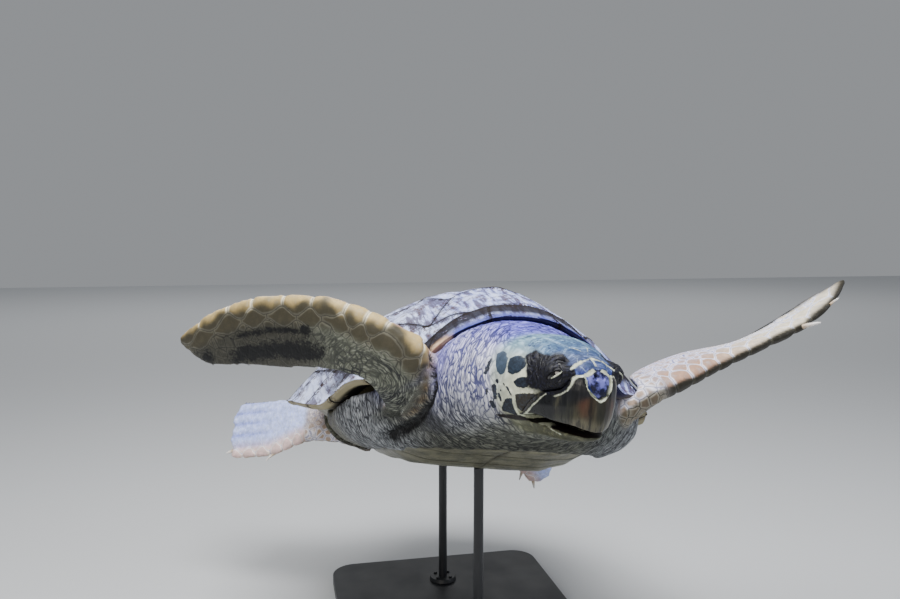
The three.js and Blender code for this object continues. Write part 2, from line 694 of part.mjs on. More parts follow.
const tailPath = new THREE.CatmullRomCurve3([vec(0, 0.38 * SHELL, -34), vec(0, 0.46 * SHELL, -44), vec(0, 0.53 * SHELL, -58)]);
const tailBody = loft(
  steps(5).map((t) => {
    const middle = tailPath.getPoint(t);
    const radius = 30 * (1 - t) ** 0.8 + 5;
    return around(12).map((a) => vec(middle.x + radius * Math.cos(a), middle.y, middle.z + 0.8 * radius * Math.sin(a)));
  }),
);
const tail = cut(tailBody, torsoWhole, carapaceSkin, underBelly);

// ---------------------------------------------------------------- stand

const BASE = { width: 420, length: 520, thick: 22, corner: 45 };
const ROD_RADIUS = 8;
const RODS = [[0, -130], [0, 150]];

const turtle = new THREE.Group();
turtle.rotation.set(radians(-BODY_PITCH), radians(-BODY_ROLL), 0, "XYZ");
turtle.position.set(0, 0, BODY_HEIGHT);
turtle.updateMatrix();

function standBase() {
  const { width, length, thick, corner } = BASE;
  const shape = new THREE.Shape();
  for (const quarter of [0, 1, 2, 3]) {
    const x = (quarter === 0 || quarter === 3 ? 1 : -1) * (width / 2 - corner);
    const y = (quarter < 2 ? 1 : -1) * (length / 2 - corner);
    shape.absarc(x, y, corner, (quarter * Math.PI) / 2, ((quarter + 1) * Math.PI) / 2);
  }
  const bevel = 3;
  const geometry = new THREE.ExtrudeGeometry(shape, {
    depth: thick - 2 * bevel,
    bevelThickness: bevel,
    bevelSize: bevel,
    bevelOffset: -bevel,
    bevelSegments: 1,
    curveSegments: 4,
  });
  return solid(geometry.translate(0, 0, bevel));
}

// A rod with a foot flange, up to the belly.
function standRod([x, y], belly) {
  const floor = BASE.thick + GAP;
  const rod = new THREE.CylinderGeometry(ROD_RADIUS, ROD_RADIUS, 400, 14).rotateX(Math.PI / 2);
  const flange = new THREE.CylinderGeometry(24, 26, 7, 18).rotateX(Math.PI / 2);
  const whole = solid(rod.translate(x, y, floor + 200)).add(solid(flange.translate(x, y, floor + 3.5)));
  const left = whole.subtract(grown(belly, GAP)).decompose();
  return left.sort((a, b) => a.boundingBox().min[2] - b.boundingBox().min[2])[0];
}

// ---------------------------------------------------------------- assembly

const shellMaterial = new THREE.MeshStandardMaterial({ color: 0x6d6072, roughness: 0.6 });
const bellyMaterial = new THREE.MeshStandardMaterial({ color: 0xb5a888, roughness: 0.6 });
const skinMaterial = new THREE.MeshStandardMaterial({ color: 0x77708a, roughness: 0.65 });
const hornMaterial = new THREE.MeshStandardMaterial({ color: 0x5a4a3c, roughness: 0.45 });
const eyeMaterial = new THREE.MeshStandardMaterial({ color: 0x14100f, roughness: 0.15 });
const clawMaterial = new THREE.MeshStandardMaterial({ color: 0xcfc6b4, roughness: 0.4 });
const standMaterial = new THREE.MeshStandardMaterial({ color: 0x24262a, roughness: 0.5 });

const named = (name, made, material) => {
  const mesh = new THREE.Mesh(geometryOf(made), material);
  mesh.name = name;
  return mesh;
};

turtle.add(
  named("carapace", carapace, shellMaterial),
  named("plastron", plastron, bellyMaterial),
  named("torso", torso, skinMaterial),
  named("neck", neck, skinMaterial),
  named("head", head, skinMaterial),
  named("lower_jaw", jaw, skinMaterial),
  named("upper_beak", beak, hornMaterial),
  named("eye_left", eyeLeft, eyeMaterial),
  named("eye_right", eyeRight, eyeMaterial),
  named("tail", tail, skinMaterial),
);
for (const [side, arm, leg, claws] of [
  ["left", LEFT_ARM, LEFT_LEG, LEFT_FORE_CLAWS],
  ["right", RIGHT_ARM, RIGHT_LEG, RIGHT_FORE_CLAWS],
]) {
  const flipper = foreFlipper(arm);
  const foot = hindFlipper(leg);
  turtle.add(
    named(`upper_arm_${side}`, upperArm(arm), skinMaterial),
    named(`fore_flipper_${side}`, flipper, skinMaterial),
    named(`thigh_${side}`, thigh(leg), skinMaterial),
    named(`hind_flipper_${side}`, foot, skinMaterial),
    ...claws.map((one, i) => named(`claw_fore_${side}_${i + 1}`, claw(arm, flipper, one), clawMaterial)),
    ...HIND_CLAWS.map((one, i) => named(`claw_hind_${side}_${i + 1}`, claw(leg, foot, one), clawMaterial)),
  );
}

const worldBelly = moved(plastron, turtle.matrix);
const root = new THREE.Group();
root.add(turtle, named("stand_base", standBase(), standMaterial));
RODS.forEach((place, i) => root.add(named(`stand_rod_${["front", "back"][i]}`, standRod(place, worldBelly), standMaterial)));

export default root;
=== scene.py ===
# %% [markdown]
# # A loggerhead turtle on a display stand
#
# Museums show a swimming animal as a cast: a skin of painted resin over a core, with the shell, the beak,
# the eyes and the claws set in as pieces of their own. This lesson makes the cast the same way. The packed
# frame gives every part its place and size. Blender then grows one skin over the parts of flesh, rebuilds
# the shell as a smooth dome with its scutes, and finishes each surface for what it is on the animal.

# %% Load the frame
import json
import math

import bmesh
import bpy
import numpy as np
from mathutils import Matrix, Vector, noise
from mathutils.bvhtree import BVHTree

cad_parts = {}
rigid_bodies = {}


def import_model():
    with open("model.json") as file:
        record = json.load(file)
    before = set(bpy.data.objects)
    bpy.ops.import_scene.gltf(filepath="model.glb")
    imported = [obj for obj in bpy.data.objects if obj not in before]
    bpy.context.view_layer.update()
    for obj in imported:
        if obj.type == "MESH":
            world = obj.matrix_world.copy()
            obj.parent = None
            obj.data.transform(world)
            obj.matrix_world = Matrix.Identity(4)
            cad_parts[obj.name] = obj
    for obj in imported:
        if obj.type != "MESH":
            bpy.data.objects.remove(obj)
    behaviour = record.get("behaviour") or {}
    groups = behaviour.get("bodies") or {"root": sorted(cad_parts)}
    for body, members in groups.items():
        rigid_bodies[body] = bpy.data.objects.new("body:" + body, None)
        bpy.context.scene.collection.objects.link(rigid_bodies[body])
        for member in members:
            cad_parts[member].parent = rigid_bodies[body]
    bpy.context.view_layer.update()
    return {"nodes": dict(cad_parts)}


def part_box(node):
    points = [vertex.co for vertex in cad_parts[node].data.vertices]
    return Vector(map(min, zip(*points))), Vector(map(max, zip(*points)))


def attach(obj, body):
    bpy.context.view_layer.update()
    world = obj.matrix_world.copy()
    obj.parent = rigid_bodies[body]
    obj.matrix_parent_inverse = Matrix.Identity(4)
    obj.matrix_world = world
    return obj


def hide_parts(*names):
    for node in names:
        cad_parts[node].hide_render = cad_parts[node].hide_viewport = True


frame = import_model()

MM = 0.001
nodes = frame["nodes"]
print("nodes in the frame:", len(nodes))

# %% [markdown]
# ## Two places to measure from
#
# The turtle banks on its stand, and its head turns away from its body. A pattern is far easier to draw in
# the animal's own axes than in the room's, so two matrices hold the way in and out: one for the body, with
# the middle of the shell's rim at its origin, and one for the head, with the back of the skull at its
# origin. Both use millimetres, +Z towards the back of the animal and -Y towards the snout.

# %% Body and head axes
SHELL = 750.0
CROWN = 0.25 * SHELL
BODY_PITCH, BODY_ROLL, BODY_HEIGHT = 14.0, -5.6, 400.0
HEAD_TURN, HEAD_NOD, HEAD_TILT = 13.0, 9.5, 3.5
HEAD_WIDTH, HEAD_DRAWN = 0.203 * SHELL, 165.0


def turn(degrees, axis):
    return Matrix.Rotation(math.radians(degrees), 4, axis)


BODY = Matrix.Translation((0, 0, BODY_HEIGHT)) @ turn(-BODY_PITCH, "X") @ turn(-BODY_ROLL, "Y")
HEAD = (
    BODY
    @ Matrix.Translation(SHELL * Vector((-0.01, -0.488, 0.045)))
    @ turn(HEAD_TURN, "Z")
    @ turn(HEAD_NOD, "X")
    @ turn(-HEAD_TILT, "Y")
    @ Matrix.Scale(HEAD_WIDTH / HEAD_DRAWN, 4)
)


def inwards(axes, points):
    """Points of the room, in metres, as millimetres in the given axes."""
    inverse = np.array(axes.inverted())
    return (points / MM) @ inverse[:3, :3].T + inverse[:3, 3]


def outwards(axes, points):
    """Points in millimetres of the given axes, as metres of the room."""
    matrix = np.array(axes)
    return (points @ matrix[:3, :3].T + matrix[:3, 3]) * MM


# %% [markdown]
# ## Working on many points at once
#
# A skin has about a hundred thousand points. A Python loop over them is slow, so the points go to NumPy as
# one array, are moved or measured together, and go back. `relax` moves each point towards its neighbours,
# which melts facets away. It also shrinks thin parts, so a second pass gives back the broad part of what
# the first took.

# %% Points to and from a mesh
def points_of(mesh):
    flat = np.empty(len(mesh.vertices) * 3)
    mesh.vertices.foreach_get("co", flat)
    return flat.reshape(-1, 3)


def put_points(mesh, points):
    mesh.vertices.foreach_set("co", np.ascontiguousarray(points, dtype=np.float32).ravel())
    mesh.update()


def normals_of(mesh):
    flat = np.empty(len(mesh.vertices) * 3)
    mesh.vertices.foreach_get("normal", flat)
    return flat.reshape(-1, 3)


def edges_of(mesh):
    flat = np.empty(len(mesh.edges) * 2, dtype=np.int32)
    mesh.edges.foreach_get("vertices", flat)
    return flat.reshape(-1, 2)


# %% Spread and relax
def neighbours_mean(values, edges):
    """The mean of each point's neighbours, for one or more values a point."""
    count = len(values)
    a, b = edges[:, 0], edges[:, 1]
    degree = np.maximum(np.bincount(a, minlength=count) + np.bincount(b, minlength=count), 1)
    columns = values.reshape(count, -1).T
    sums = [np.bincount(a, c[b], count) + np.bincount(b, c[a], count) for c in columns]
    return (np.array(sums) / degree).T.reshape(values.shape)


def spread(values, edges, rounds, freedom=1.0):
    for _ in range(rounds):
        values = values + 0.6 * freedom * (neighbours_mean(values, edges) - values)
    return values


def relax(points, edges, rounds, freedom=1.0, give_back=0.7):
    melted = spread(points, edges, rounds, freedom)
    return melted + give_back * spread(points - melted, edges, rounds // 3)


# %% Steps, bumps and grain
def smoothstep(low, high, x):
    t = np.clip((x - low) / (high - low), 0.0, 1.0)
    return t * t * (3 - 2 * t)


def bump(x, centre, width):
    return np.exp(-(((x - centre) / width) ** 2))


def grain(points, size, seed=0.0, octaves=2):
    """Smooth noise from -1 to 1 whose lumps are about `size` wide."""
    shift = Vector((seed * 17.3, seed * 5.1, seed * 9.7))
    scaled = points / size
    return np.array([noise.fractal(Vector(p) + shift, 1.0, 2.0, octaves) for p in scaled])


# %% Values that ride on a mesh
def store(mesh, name, values):
    """Keeps a value or a vector for each point of the mesh, for a material to read."""
    kind = "FLOAT" if values.ndim == 1 else "FLOAT_VECTOR"
    field = "value" if values.ndim == 1 else "vector"
    layer = mesh.attributes.new(name, kind, "POINT")
    layer.data.foreach_set(field, np.ascontiguousarray(values, dtype=np.float32).ravel())


# %% [markdown]
# ## Making and finishing a piece
#
# Every piece ends the same way: its mesh holds its place, its object sits at the origin, it rides on the
# one rigid body that a still model has, and the parts of the frame that it stands for are hidden.

# %% Helpers for pieces
def piece_of(name, mesh, material, replaces=()):
    piece = bpy.data.objects.new(name, mesh)
    bpy.context.scene.collection.objects.link(piece)
    mesh.materials.clear()
    mesh.materials.append(material)
    mesh.shade_smooth()
    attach(piece, "root")
    if replaces:
        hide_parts(*replaces)
    return piece


def mesh_from(bm, name):
    mesh = bpy.data.meshes.new(name)
    bm.to_mesh(mesh)
    bm.free()
    return mesh


def merged_copy(node, swell=0.0):
    """A copy of a frame part with its doubles merged, its skin moved out by `swell` millimetres."""
    bm = bmesh.new()
    bm.from_mesh(nodes[node].data)
    bmesh.ops.remove_doubles(bm, verts=bm.verts, dist=1e-6)
    bm.normal_update()
    for v in bm.verts:
        v.co += v.normal * swell * MM
    return bm


# %% An even net
def evened(mesh, voxel):
    """The mesh rebuilt as an even net of quads about `voxel` millimetres wide, its largest body only."""
    holder = bpy.data.objects.new("holder", mesh)
    bpy.context.scene.collection.objects.link(holder)
    remesh = holder.modifiers.new("even net", "REMESH")
    remesh.mode = "VOXEL"
    remesh.voxel_size = voxel * MM
    graph = bpy.context.evaluated_depsgraph_get()
    made = bpy.data.meshes.new_from_object(holder.evaluated_get(graph))
    bpy.data.objects.remove(holder)
    bm = bmesh.new()
    bm.from_mesh(made)
    unseen, bodies = set(bm.verts), []
    while unseen:
        body, front = set(), [unseen.pop()]
        while front:
            v = front.pop()
            body.add(v)
            for e in v.link_edges:
                other = e.other_vert(v)
                if other in unseen:
                    unseen.discard(other)
                    front.append(other)
        bodies.append(body)
    bodies.sort(key=len, reverse=True)
    bmesh.ops.delete(bm, geom=[v for body in bodies[1:] for v in body], context="VERTS")
    bm.to_mesh(made)
    bm.free()
    return made


# %% [markdown]
# ## Colours and graphs
#
# Colours are written as the hex values of a paint chart and turned to linear light by one function. Every
# graph is built by one function that adds a node, sets it and links what feeds it. A few steps that all
# the finishes share, such as a coat of varnish or the bump and the roughness at the end, get a helper.

# %% Colours
def linear(hexcode):
    """An sRGB hex colour as linear RGBA."""
    channels = [int(hexcode[i : i + 2], 16) / 255 for i in (1, 3, 5)]
    return tuple(c / 12.92 if c <= 0.04045 else ((c + 0.055) / 1.055) ** 2.4 for c in channels) + (1.0,)


def painted(hexcode):
    return np.array(linear(hexcode)[:3])


# %% Steps that the finishes share
def varnished(graph, colour, shader):
    """Gives a paint to a shader, deepened as a coat of varnish deepens it."""
    deep = node(graph, "Gamma", {}, colour, 1.12)
    rich = node(graph, "HueSaturation", {}, {"Color": deep, "Saturation": 1.1})
    graph.links.new(rich, shader.inputs["Base Color"])


def material_named(name):
    """A new material with an empty graph, and its shader."""
    material = bpy.data.materials.new(name)
    material.use_nodes = True
    graph = material.node_tree
    shader = graph.nodes["Principled BSDF"]
    return material, graph, shader


def node(graph, kind, settings, *feeds, out=0):
    """Adds a node and returns one of its outputs.

    Feeds go to the node's live inputs in order, or by name where they come as one dictionary. Each is a
    socket to link from, a value to set, or None to leave the input as it is.
    """
    made = graph.nodes.new("ShaderNode" + kind)
    for key, value in settings.items():
        setattr(made, key, value)
    live = [s for s in made.inputs if s.enabled]
    by_name = feeds[0] if feeds and isinstance(feeds[0], dict) else dict(enumerate(feeds))
    for key, value in by_name.items():
        socket = live[key] if isinstance(key, int) else made.inputs[key]
        if isinstance(value, bpy.types.NodeSocket):
            graph.links.new(value, socket)
        elif value is not None:
            socket.default_value = value
    return [s for s in made.outputs if s.enabled][out] if isinstance(out, int) else made.outputs[out]


# %% Steps inside a graph
def in_millimetres(graph):
    """The place of each point of a surface, in millimetres."""
    place = node(graph, "TexCoord", {}, out="Object")
    return node(graph, "VectorMath", {"operation": "SCALE"}, place, 1 / MM)


def about_zero(graph, noise_value, size):
    """A noise moved from around a half to around zero, `size` wide."""
    return node(graph, *TIMES, node(graph, *LESS, noise_value, 0.5), size)


def three_stored(graph, name):
    """The three numbers that a mesh stores for each point under one name."""
    vector = node(graph, "Attribute", {ATTRIBUTE: name}, out="Vector")
    return node(graph, "SeparateXYZ", {}, vector).node.outputs


def surfaced(graph, shader, high, noise_value, roughness, index=1.5, specular=0.5, strength=0.9, unit=MM):
    """Gives a shader its bump, its index and a roughness that a noise moves between two values."""
    bumped = node(graph, "Bump", {}, {"Strength": strength, "Distance": unit, "Height": high})
    graph.links.new(bumped, shader.inputs["Normal"])
    rough = node(graph, "MapRange", {}, noise_value, 0.3, 0.7, *roughness)
    graph.links.new(rough, shader.inputs["Roughness"])
    shader.inputs["IOR"].default_value = index
    shader.inputs["Specular IOR Level"].default_value = specular


# %% Kinds of node that come back often, with their settings
# A MapRange is fed in order: value, from low, from high, to low, to high.
# A TexNoise is fed in order: vector, scale, detail, roughness.
ATTRIBUTE = "attribute_name"
ADD, LESS, TIMES = (("Math", {"operation": o}) for o in ("ADD", "SUBTRACT", "MULTIPLY"))
LOWEST, HIGHEST, SIZE_OF = (("Math", {"operation": o}) for o in ("MINIMUM", "MAXIMUM", "ABSOLUTE"))
SOFT_STEP = ("MapRange", {"interpolation_type": "SMOOTHSTEP"})
COLOURS = ("Mix", {"data_type": "RGBA"})
TINTED = ("Mix", {"data_type": "RGBA", "blend_type": "MULTIPLY"})


# %% [markdown]
# ## One skin over the flesh
#
# The frame parts the flesh into head, neck, torso and limbs. On the animal they are one skin, and a seam
# anywhere would give the model away. Each part is copied, swelled by half a millimetre so that it bites
# into its neighbours, and the lot is remeshed as one even net. The remesh keeps the facets of the frame,
# so the net is relaxed: most on the broad trunk, least on lids and fingers, which would melt.

# %% Gather and remesh
SIDES = ("left", "right")
FLESH = ["torso", "neck", "head", "lower_jaw", "tail"]
LIMB_SOLIDS = ("upper_arm", "fore_flipper", "thigh", "hind_flipper")
FLESH += [f"{part}_{side}" for part in LIMB_SOLIDS for side in SIDES]
NET, SWELL = 3.6, 0.5

gathered = bmesh.new()
home_of_face = []
for name in FLESH:
    copy = merged_copy(name, SWELL)
    home_of_face += [name] * len(copy.faces)
    passing = mesh_from(copy, "passing")
    gathered.from_mesh(passing)
    bpy.data.meshes.remove(passing)
flesh_tree = BVHTree.FromBMesh(gathered)
skin_mesh = evened(mesh_from(gathered, "flesh"), NET)
print("skin net:", len(skin_mesh.vertices), "points")

# %% Name the home of each point
def homes_of(points):
    """The frame part that each point lies on."""
    return np.array([home_of_face[flesh_tree.find_nearest(Vector(p))[2]] for p in points])


homes = homes_of(points_of(skin_mesh))
edges = edges_of(skin_mesh)


def home_mask(*parts, rounds=0):
    mask = np.isin(homes, parts).astype(float)
    return spread(mask, edges, rounds) if rounds else mask


def of_sides(part):
    return [f"{part}_{side}" for side in SIDES]


# %% Relax the net
freedom = home_mask("torso", "neck", *of_sides("upper_arm"), *of_sides("thigh"))
freedom = 0.3 + 0.7 * spread(freedom, edges, 4)
points = relax(points_of(skin_mesh), edges, 40, freedom[:, None])
put_points(skin_mesh, points)

# %% [markdown]
# ## What lies against the shell
#
# Two thirds of the torso hides between the shell and the belly plate. That skin is never seen, so it is
# drawn back from the plates, clear of the finer shell that comes next.

# %% Draw back the hidden skin
hidden_bm = bmesh.new()
for name in ("carapace", "plastron"):
    passing = mesh_from(merged_copy(name), "passing")
    hidden_bm.from_mesh(passing)
    bpy.data.meshes.remove(passing)
shell_tree = BVHTree.FromBMesh(hidden_bm)
hidden_bm.free()
FAR, DRAWN_BACK = 6 * MM, 2.5 * MM
near = np.array([shell_tree.find_nearest(Vector(p), FAR)[3] or FAR for p in points])
hidden = spread(1 - smoothstep(1.5 * MM, 4 * MM, near), edges, 2)
points = points - normals_of(skin_mesh) * (DRAWN_BACK * hidden)[:, None]
put_points(skin_mesh, points)
print("hidden share of the skin:", round(float(hidden.mean()), 2))
# %% [markdown]
# ## Where the eyes sit
#
# A ball sits in each socket, turned outwards, a little forwards and a little up. Both the skin round it and
# the ball itself are shaped in the eye's own axes: X runs along the lids, Y up and Z out of the eye.

# %% Eye axes
EYE_PLACE, EYE_RADIUS = Vector((35.5, -166, 16.5)), 17.0
EYE_LOOK = Vector((0.92, -0.36, 0.14))


def eye_axes(side):
    out = Vector((side * EYE_LOOK.x, EYE_LOOK.y, EYE_LOOK.z)).normalized()
    forward = -Vector((0, 0, 1)).cross(out).normalized() * side
    up = Vector((0, 0, 1)) - out * out.z
    turned = Matrix((forward, up.normalized(), out)).transposed().to_4x4()
    return HEAD @ Matrix.Translation((side * EYE_PLACE.x, EYE_PLACE.y, EYE_PLACE.z)) @ turned


def in_eye(points, side):
    return inwards(eye_axes(side), points)


print("the left eye is at", [round(v, 3) for v in eye_axes(1).translation])

# %% [markdown]
# ## Where the net has to be finer, and where it may be coarse
#
# The head gets the closest looks, so each of its quads is divided in four, and those round the eyes and the
# nose once more. The hidden skin is thinned to pay for that, because an even net there would carry a third
# of all points for nothing.

# %% Refine the head
LID_ZONE, NOSE_PLACE, NOSE_ZONE = 24, (0, -200, 12), 25


def divided(mesh, chosen):
    """Divides each edge in two where both its ends are chosen."""
    chosen = set(np.nonzero(chosen)[0].tolist())
    bm = bmesh.new()
    bm.from_mesh(mesh)
    inner = [e for e in bm.edges if e.verts[0].index in chosen and e.verts[1].index in chosen]
    bmesh.ops.subdivide_edges(bm, edges=inner, cuts=1, use_grid_fill=True)
    bm.to_mesh(mesh)
    bm.free()


in_head = inwards(HEAD, points)
on_face = (in_head[:, 1] < -35) & (np.abs(in_head[:, 0]) < 95)
divided(skin_mesh, on_face & (home_mask("head", "lower_jaw", rounds=2) > 0.3))
fine = points_of(skin_mesh)
near_nose = np.linalg.norm(inwards(HEAD, fine) - NOSE_PLACE, axis=1) < NOSE_ZONE
for side in (1, -1):
    near_lids = np.linalg.norm(in_eye(fine, side)[:, :2], axis=1) < LID_ZONE
    near_nose |= near_lids & (in_eye(fine, side)[:, 2] > 3)
divided(skin_mesh, near_nose)

# %% Thin what is hidden
THINNED = 0.64

holder = bpy.data.objects.new("holder", skin_mesh)
bpy.context.scene.collection.objects.link(holder)
group = holder.vertex_groups.new(name="hidden")
group.add(np.nonzero(hidden > 0.6)[0].tolist(), 1.0, "REPLACE")
thin = holder.modifiers.new("thin", "DECIMATE")
thin.ratio = THINNED
thin.vertex_group = "hidden"
thin.vertex_group_factor = 1000
graph = bpy.context.evaluated_depsgraph_get()
skin_mesh = bpy.data.meshes.new_from_object(holder.evaluated_get(graph))
bpy.data.objects.remove(holder)

# %% Caps for the lids
# The frame leaves an almond open over each ball. A cap of skin fills it from behind its rim, and the lids
# are cut in that cap, as real lids slide out from under the rim of the socket.
LID_RADIUS, CAP_BACK = EYE_RADIUS + 1.5, 4.0

bm = bmesh.new()
bm.from_mesh(skin_mesh)
first_of_caps = len(bm.verts)
for side in (1, -1):
    made = bmesh.ops.create_uvsphere(bm, u_segments=80, v_segments=72, radius=LID_RADIUS)["verts"]
    local = np.array([v.co for v in made])
    for v, p in zip(made, outwards(eye_axes(side), local)):
        v.co = p
    bmesh.ops.recalc_face_normals(bm, faces=list({f for v in made for f in v.link_faces}))
    behind = [v for v, z in zip(made, local[:, 2]) if z < CAP_BACK]
    bmesh.ops.delete(bm, geom=behind, context="VERTS")
bm.to_mesh(skin_mesh)
bm.free()

points = points_of(skin_mesh)
edges = edges_of(skin_mesh)
homes = homes_of(points)
on_cap = np.arange(len(points)) >= first_of_caps
skin_mesh.calc_loop_triangles()
print("skin net:", len(points), "points", len(skin_mesh.loop_triangles), "triangles")

# %% [markdown]
# ## Limbs as rulers
#
# Scales run in rows along a flipper, so a pattern on it needs two rulers: how far along the limb a point
# is, and how far behind its leading edge. Each limb is a row of stops: where its middle is, which way its
# leading edge points, and how wide it is there. Every point of the skin takes its place from the nearest
# stretch between two stops.

# %% Limb stops
LIMBS = {
    "fore_left": [
        ((112, -200, -44), (0.2, -0.95, 0.1), 140), ((156, -247, -10), (0, -0.98, -0.1), 126),
        ((200, -276, 26), (-0.1, -0.93, -0.25), 114), ((245, -278, 52), (-0.13, -0.9, -0.37), 111),
        ((305, -270, 79), (-0.15, -0.9, -0.33), 104), ((393, -262, 110), (-0.15, -0.97, -0.15), 96),
        ((468, -257, 149), (-0.15, -0.95, -0.3), 87), ((520, -262, 188), (-0.2, -0.9, -0.42), 62),
        ((563, -268, 224), (-0.3, -0.85, -0.45), 14),
    ],
    "fore_right": [
        ((-82, -188, -40), (0.75, -0.1, 0.6), 134), ((-96, -255, -22), (0.9, -0.2, 0.4), 122),
        ((-133, -329, 7), (0.85, -0.3, 0.45), 102), ((-183, -360, 45), (0.4, -0.45, 0.8), 86),
        ((-251, -337, 69), (0, -0.42, 0.9), 98), ((-320, -286, 73), (-0.1, -0.42, 0.9), 102),
        ((-372, -243, 70), (-0.12, -0.4, 0.9), 90), ((-418, -206, 60), (-0.2, -0.35, 0.9), 66),
        ((-456, -176, 66), (-0.3, -0.3, 0.9), 14),
    ],
    "hind_left": [
        ((118, 222, -52), (-0.3, -0.6, -0.6), 96), ((176, 262, -60), (-0.6, -0.2, -0.6), 82),
        ((214, 284, -78), (-0.8, 0, -0.5), 76), ((238, 296, -104), (-0.85, 0.1, -0.3), 76),
        ((258, 304, -134), (-0.85, 0.1, -0.3), 66),
    ],
    "hind_right": [
        ((-118, 222, -48), (-0.3, -0.5, -0.8), 96), ((-178, 246, -36), (-0.2, -0.4, -0.9), 84),
        ((-250, 262, -32), (-0.15, -0.35, -0.93), 94), ((-320, 300, -50), (-0.12, -0.3, -0.95), 122),
        ((-400, 341, -59), (-0.1, -0.3, -0.95), 128),
    ],
}
LIMB_PARTS = {"fore": ("upper_arm", "fore_flipper"), "hind": ("thigh", "hind_flipper")}


# %% Measure along a limb
def unit(vectors):
    return vectors / np.linalg.norm(vectors, axis=-1, keepdims=True)


def along_limb(stops, p):
    """How far along the limb, behind its leading edge, off its middle plane and away from its line."""
    middle, lead, width = (np.array(column, dtype=float) for column in zip(*stops))
    step = np.diff(middle, axis=0)
    length = np.linalg.norm(step, axis=1)
    start = np.concatenate([[0], np.cumsum(length)[:-1]])
    ahead = unit(step)
    reach = np.einsum("nij,ij->ni", p[:, None] - middle[None, :-1], ahead)
    reach = np.clip(reach, 0, length)
    foot = middle[None, :-1] + reach[:, :, None] * ahead[None]
    away = np.linalg.norm(p[:, None] - foot, axis=2)
    i = away.argmin(1)
    rows = np.arange(len(p))
    share = (reach[rows, i] / length[i])[:, None]
    edge_way = unit(lead)[i] * (1 - share) + unit(lead)[i + 1] * share
    edge_way = unit(edge_way - ahead[i] * (edge_way * ahead[i]).sum(1)[:, None])
    offset = p - foot[rows, i]
    half = (width[i] * (1 - share[:, 0]) + width[i + 1] * share[:, 0]) / 2
    behind_edge = half - (offset * edge_way).sum(1)
    face = (offset * np.cross(ahead[i], edge_way)).sum(1)
    return start[i] + reach[rows, i], behind_edge, face, away[rows, i]


# %% Measure every point of the skin
in_body = inwards(BODY, points)
OFF_LIMB = 50.0
run, face = np.zeros(len(points)), np.zeros(len(points))
behind_edge = np.full(len(points), OFF_LIMB)
limb_share = {}
nearest_limb = np.full(len(points), 1e9)
for limb, stops in LIMBS.items():
    kind, side = limb.split("_")
    own = home_mask(*[f"{part}_{side}" for part in LIMB_PARTS[kind]])
    limb_share[limb] = spread(own, edges, 10)
    u, v, f, away = along_limb(stops, in_body)
    away = np.where(own > 0, -1, np.where(homes == "torso", away, 1e8))
    closer = away < nearest_limb
    nearest_limb[closer] = away[closer]
    # The upper side of the right limbs faces along their own face axis, that of the left ones against it.
    upper = -f if side == "left" else f
    for ruler, value in ((run, u), (behind_edge, v), (face, upper)):
        ruler[closer] = value[closer]
run, behind_edge, face = (spread(a, edges, 5) for a in (run, behind_edge, face))
flipper_length = run[homes == "fore_flipper_left"].max()
print("the left fore flipper is", round(float(flipper_length)), "mm long from its root")

# %% [markdown]
# ## Lids
#
# An eye looks alive through its lids. They are skin laid over the ball, a little thicker than it, with a
# slit cut in them: the skin inside the slit is pushed behind the ball, and the ball shows. Old turtles
# have heavy lids. The upper one hangs over most of the ball as a smooth bulge, the slit runs obliquely
# up and forwards below it, and the rim of the lower lid is painted pale as a highlight.

# %% The slit between the lids
SLIT_HALF, SLIT_OPEN, SLIT_TURN, SLIT_PLACE = 11.5, 2.1, 34.0, (2.5, -2.5)
SOCKET, TUCKED = 3.2, 3.0


def along_slit(local):
    """Places in the slit's own axes: along it, and up across it."""
    x, y = local[:, 0] - SLIT_PLACE[0], local[:, 1] - SLIT_PLACE[1]
    cosine, sine = math.cos(math.radians(SLIT_TURN)), math.sin(math.radians(SLIT_TURN))
    return cosine * x + sine * y, cosine * y - sine * x


def inside_slit(x, y):
    """How far a point is inside the slit, in millimetres of the head's axes; below 0 it is on a lid."""
    arch = np.sqrt(np.clip(1 - (x / SLIT_HALF) ** 2, 0, 1))
    return np.where(np.abs(x) < SLIT_HALF, SLIT_OPEN * arch - np.abs(y), -np.hypot(np.abs(x) - SLIT_HALF, y))


# %% Shape the lids
NOWHERE = -60.0
lid_fold, lid_rim_highlight = np.zeros(len(points)), np.full(len(points), NOWHERE)
for side in (1, -1):
    local = in_eye(points, side)
    off = np.hypot(local[:, 0], local[:, 1])
    x, y = along_slit(local)
    slit = inside_slit(x, y)
    mine = on_cap & (local[:, 2] > 0) & (np.linalg.norm(local, axis=1) < 25)
    above = smoothstep(-1, 1, y)
    bulge = 2.0 * above * bump(np.hypot(x + 1.5, y - 6.0), 0, 6.5)
    roll = 0.7 * bump(slit, -1.2, 0.8)
    rings = 0.35 * np.cos(2 * np.pi * slit / 2.2) * smoothstep(-1.5, -3, slit) * (1 - 0.8 * above)
    lid = LID_RADIUS + bulge + roll + rings - TUCKED * smoothstep(12, 16, off)
    depth = lid + (EYE_RADIUS - SOCKET - lid) * smoothstep(-0.35, 0.45, slit)
    placed = outwards(eye_axes(side), local * (depth / np.linalg.norm(local, axis=1))[:, None])
    points = np.where(mine[:, None], placed, points)
    around_eye = (local[:, 2] > 2) * (1 - smoothstep(15, 24, off))
    lid_fold += np.where(on_cap, mine * smoothstep(0.2, -0.2, slit), around_eye)
    lid_rim_highlight = np.where(mine & (y < 0) & (x > -3), 0.9 - np.abs(slit + 0.9), lid_rim_highlight)
put_points(skin_mesh, points)
print("points in the lids:", int((lid_fold > 0.5).sum()))

# %% [markdown]
# ## Marks of the head
#
# A loggerhead's head carries horny plates, large on top and round on the cheek, each with a name in the
# books. The plates and the pale lines between them are drawn once, as outlines in the head's axes, on the
# view they are best seen in: from the side, from above or from the front. Each point of a surface then
# keeps how far it is inside the nearest outline. A distance stays smooth between two points of the net,
# so the material can cut a crisp edge where it is zero, which a painted colour could not.

